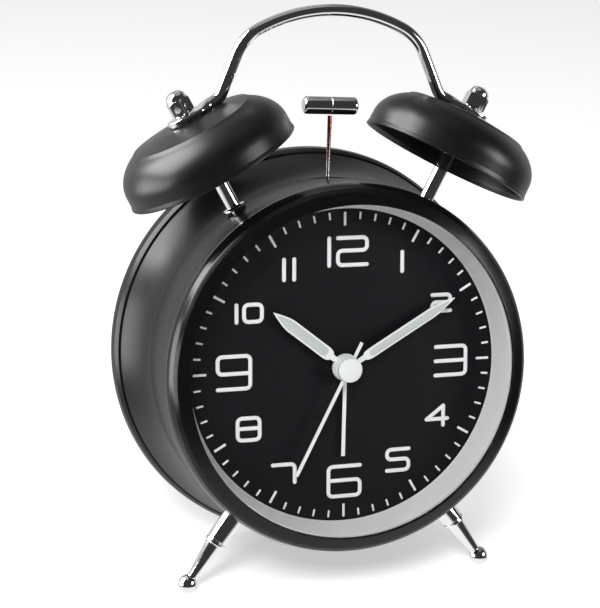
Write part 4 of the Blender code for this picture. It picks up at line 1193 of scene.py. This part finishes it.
door_size = door_high - door_low
door = slab(bar(door_size.x, door_size.y, 1.0, 4), door_low.z, door_high.z, 0.2)
pad = slab(bar(15, 9.2, 1.5, 4), door_low.z - 0.25, door_low.z + 0.05, 0.1)
ridges = [moved(slab(bar(0.7, 7.4, 0.3), door_low.z - 0.7, door_low.z - 0.2, 0.15),
                Matrix.Translation((x, 0, 0))) for x in (-5.6, -4.2, -2.8, -1.4, 0, 1.4, 2.8, 4.2, 5.6)]
thumb_grip = moved(joined(pad, *ridges), Matrix.Translation((-14, 0, 0)))
finished("battery_door_ribbed", over(joined(door, thumb_grip), door_middle), "cover", "battery_door",
         ["battery_door"])
print("door:", round(door_size.x, 1), "x", round(door_size.y, 1), "mm")

# %% [markdown]
# Four pan-head screws hold the cover. One is turned and gets its cross recess from two crossed
# cutters; the ring tree sets the four.

# %% Screws
screw_low, screw_high = span("rear_screw_1")
screw_at = (screw_low + screw_high) / 2
SCREW_CIRCLE, SCREW_R = sqrt(screw_at.x ** 2 + screw_at.y ** 2), (screw_high.x - screw_low.x) / 2
pan = [(0, screw_low.z), (SCREW_R * 0.45, screw_low.z + 0.05, 1.0), (SCREW_R, screw_low.z + 0.8, 0.6),
       (SCREW_R, screw_low.z + 1.65, 0.15), (1.2, screw_low.z + 1.65), (1.2, screw_high.z, 0.4),
       (0, screw_high.z)]
recess = [slab(outline, screw_low.z - 1, screw_low.z + 1.0) for outline in
          ([(-1.3, -0.24), (1.3, -0.24), (1.3, 0.24), (-1.3, 0.24)],
           [(-0.24, -1.3), (0.24, -1.3), (0.24, 1.3), (-0.24, 1.3)])]
screw = carved(turned(pan, "zinc", 48), *recess)
screws = grown(screw, AROUND, "zinc", Count=4, Radius=SCREW_CIRCLE, Start=atan2(screw_at.y, screw_at.x))
finished("cover_screws", screws, "zinc", "case", ["rear_screw_%d" % n for n in (1, 2, 3, 4)])
print("screws on a circle of", round(SCREW_CIRCLE, 1), "mm")

# %% [markdown]
# Behind the door is one AA cell, the size that sets the scale of everything else, between a flat
# contact and a coil spring. The coil is a spiral curve with a round section.

# %% Battery and its spring
cell_low, cell_high = span("battery")
cell_middle = (cell_low + cell_high) / 2
cell_r, cell_half = (cell_high.y - cell_low.y) / 2, (cell_high.x - cell_low.x) / 2
ALONG_CELL = Matrix.Translation(cell_middle) @ Matrix.Rotation(pi / 2, 4, "Y")
wrap = turned([(0, 1.2 - cell_half), (cell_r - 0.9, 1.2 - cell_half), (cell_r - 0.9, 0.5 - cell_half, 0.1),
               (cell_r, 0.5 - cell_half, 0.4), (cell_r, cell_half - 1.9, 0.5),
               (cell_r - 1.3, cell_half - 1.9, 0.1), (cell_r - 1.3, cell_half - 2.6),
               (0, cell_half - 2.6)], "sleeve", 96)
finished("battery_wrap", wrap, "sleeve", "case", ["battery"], ALONG_CELL)
nub = turned([(0, cell_half - 2.5), (cell_r - 1.4, cell_half - 2.5), (cell_r - 1.4, cell_half - 1.7, 0.3),
              (2.75, cell_half - 1.4, 0.3), (2.7, cell_half, 0.35), (0, cell_half)], "nickel", 64)
base = turned([(0, -cell_half), (cell_r - 1.6, -cell_half, 0.3), (cell_r - 1.0, 0.35 - cell_half, 0.3),
               (cell_r - 1.0, 1.1 - cell_half), (0, 1.1 - cell_half)], "nickel", 64)
finished("battery_ends", joined(nub, base), "nickel", "case", local=ALONG_CELL)

SPRINGS, enter, leave = new_tree("coil spring", {"Turns": 4.0, "Wire": 0.6, "Small radius": 2.0,
                                                 "Large radius": 3.2, "Length": 3.0})
spiral = SPRINGS.nodes.new("GeometryNodeCurveSpiral")
spiral.inputs["Resolution"].default_value = 40
for name, socket in (("Turns", "Rotations"), ("Small radius", "Start Radius"), ("Large radius", "End Radius"),
                     ("Length", "Height")):
    SPRINGS.links.new(enter.outputs[name], spiral.inputs[socket])
round_wire = SPRINGS.nodes.new("GeometryNodeCurvePrimitiveCircle")
round_wire.inputs["Resolution"].default_value = 12
SPRINGS.links.new(tree_maths(SPRINGS, "MULTIPLY", enter.outputs["Wire"], 0.5), round_wire.inputs["Radius"])
coil = chain(SPRINGS, spiral.outputs[0],
             ("GeometryNodeCurveToMesh", {"Profile Curve": round_wire.outputs[0], "Fill Caps": True}))
close_tree(SPRINGS, enter, leave, coil)
spring_low, spring_high = span("battery_spring")
spring_r = (spring_high.y - spring_low.y) / 2
spring = grown(bpy.data.meshes.new("nothing"), SPRINGS, "nickel", Turns=3.2, Wire=0.6,
               Small_radius=spring_r - 0.4, Large_radius=spring_r * 0.6,
               Length=spring_high.x - spring_low.x - 0.7)
at = Vector((spring_low.x + 0.35, (spring_low.y + spring_high.y) / 2, (spring_low.z + spring_high.z) / 2))
finished("battery_coil", spring, "nickel", "case", ["battery_spring"],
         Matrix.Translation(at) @ Matrix.Rotation(pi / 2, 4, "Y"))
print("cell:", round(2 * cell_half, 1), "mm long")

# %% [markdown]
# ## Pieces kept from the solid model
# Nuts inside the case, the movement, its gears and the motor are right as they are. They only
# need a finish each.

# %% Finishes of the kept pieces
KEPT = {"zinc": ["left_bell_nut", "right_bell_nut", "left_foot_nut", "right_foot_nut", "hammer_motor",
                 "hammer_bracket", "hammer_lever", "motion_staff", "second_arbor"],
        "nickel": ["battery_plate"],
        "brass": ["minute_pipe", "motor_crank"],
        "gear": ["minute_pinion", "hour_pipe", "hour_wheel", "alarm_pipe", "alarm_wheel", "motion_wheel",
                 "motion_pinion", "alarm_set_pinion"],
        "movement": ["movement_case", "movement_lid", "battery_bay"],
        "cover": ["rear_cover"],
        "lamp": ["dial_lamp"]}
for look, nodes in KEPT.items():
    for node in nodes:
        for place in frame["nodes"][node].material_slots:
            place.material = LOOK[look]
print("kept pieces:", sum(map(len, KEPT.values())))

# %% [markdown]
# ## Floor, light and camera
# The clock stands on a plain white floor. Black enamel shows nothing but what it mirrors, so the
# room matters more than the lamps: bright walls and ceiling give the soft grey edges, and a
# darker side behind the camera keeps the front of the case black and puts the dark stripe down
# the middle of each chromed rod.

# %% Floor
FLOOR_REACH = 8.0      # metres
floor_look = Finish("white_floor", (0.93, 0.93, 0.93), 0.75)
floor_look.shader.inputs["Emission Color"].default_value = (1.0, 1.0, 1.0, 1.0)
floor_look.shader.inputs["Emission Strength"].default_value = 0.5
floor_look.set("Base Color", floor_look.blend(floor_look.noise(180, 2), (0.925, 0.925, 0.925),
                                              (0.935, 0.935, 0.935)))
bm = bmesh.new()
bm.faces.new([bm.verts.new((FLOOR_REACH * x, FLOOR_REACH * y, 0)) for x, y in
              ((-1, -1), (1, -1), (1, 1), (-1, 1))])
floor = bpy.data.objects.new("floor", mesh_of(bm))
floor.data.materials.append(floor_look.material)
bpy.context.scene.collection.objects.link(floor)
floor.visible_glossy = False

# %% Room light
world = bpy.data.worlds.new("studio")
bpy.context.scene.world = world
world.use_nodes = True
sky = world.node_tree
backdrop = sky.nodes["Background"]
backdrop.inputs["Color"].default_value = (1.0, 1.0, 1.0, 1.0)
direction = sky.nodes.new("ShaderNodeTexCoord")
parts = sky.nodes.new("ShaderNodeSeparateXYZ")
sky.links.new(direction.outputs["Generated"], parts.inputs[0])


def sky_share(axis, low, high, start, end):
    """A smooth change of brightness along one direction of the room."""
    node = sky.nodes.new("ShaderNodeMapRange")
    node.interpolation_type = "SMOOTHSTEP"
    for socket, value in (("From Min", low), ("From Max", high), ("To Min", start), ("To Max", end)):
        node.inputs[socket].default_value = value
    sky.links.new(parts.outputs[axis], node.inputs["Value"])
    return node.outputs[0]


back_wall = tree_maths(sky, "MULTIPLY", sky_share("Y", -0.1, 0.35, 0.0, 0.65),
                       sky_share("Z", 0.25, 0.6, 1.0, 0.3))
under = sky_share("Z", -0.65, -0.35, 1.0, 0.04)
ceiling = sky_share("Z", 0.85, 0.98, 0.0, 0.35)
room = tree_maths(sky, "MAXIMUM", tree_maths(sky, "MAXIMUM", back_wall, under), ceiling)
sky.links.new(room, backdrop.inputs["Strength"])
centre = DIAL @ Vector((0, 0, 0))


def softbox(name, place, width, height, brightness, seen_in_gloss):
    """A softbox aimed at the clock. Either only what it lights shows, or only its mirror image."""
    light = bpy.data.lights.new(name, "AREA")
    light.shape, light.size, light.size_y = "RECTANGLE", width, height
    light.energy = brightness * pi * width * height
    lamp = bpy.data.objects.new(name, light)
    lamp.location = place
    level = Vector((centre.x, centre.y, place[2])) if seen_in_gloss else centre
    lamp.rotation_euler = (level - Vector(place)).to_track_quat("-Z", "Y").to_euler()
    lamp.visible_camera = False
    lamp.visible_glossy, lamp.visible_diffuse = seen_in_gloss, not seen_in_gloss
    bpy.context.scene.collection.objects.link(lamp)


softbox("fill", (-0.6, -1.1, 1.2), 0.6, 0.6, 20, False)
softbox("overhead", (0, 0.3, 1.8), 1.6, 1.6, 0.7, False)
softbox("left_softbox", (-0.81, 0.22, 0.9), 0.9, 1.1, 11.5, True)
softbox("left_panel", (-1.0, 0.1, -0.05), 1.0, 0.5, 6.5, True)
softbox("right_softbox", (0.85, -0.67, 0.33), 0.44, 0.5, 8.5, True)
softbox("high_panel", (-0.1, 1.0, 1.5), 1.2, 0.5, 0.9, True)
print("lights placed")

# %% [markdown]
# The camera looks a little down on the dial and from its left, with a long lens from half a
# metre away, so the far side of the case hides and the near side shows its whole profile.

# %% Camera
AZIMUTH, ELEVATION, ROLL, LENS, SENSOR = radians(17.09), radians(9.90), radians(0.07), 102.904, 36.0
DISTANCE, SHIFT_RIGHT, SHIFT_UP = 499.1, -12.67, 17.88
cam_right = Vector((cos(AZIMUTH), 0, sin(AZIMUTH)))
cam_back = Vector((-sin(AZIMUTH) * cos(ELEVATION), sin(ELEVATION), cos(AZIMUTH) * cos(ELEVATION)))
cam_up = cam_back.cross(cam_right)
eye = cam_right * SHIFT_RIGHT + cam_up * SHIFT_UP + cam_back * DISTANCE
turn = Matrix((cam_right, cam_up, cam_back)).transposed()
turn = Matrix((RIGHT, UP, OUT)).transposed() @ turn @ Matrix.Rotation(ROLL, 3, "Z")
camera = bpy.data.objects.new("camera", bpy.data.cameras.new("camera"))
camera.data.lens, camera.data.sensor_width = LENS, SENSOR
camera.data.clip_start, camera.data.clip_end = 0.01, 30
camera.matrix_world = Matrix.Translation(DIAL @ eye) @ turn.to_4x4()
bpy.context.scene.collection.objects.link(camera)
bpy.context.scene.camera = camera
bpy.context.scene.view_settings.view_transform = "Standard"
print("camera at", [round(x, 3) for x in camera.matrix_world.translation])

# %% Bring the scene up to date
bpy.context.view_layer.update()
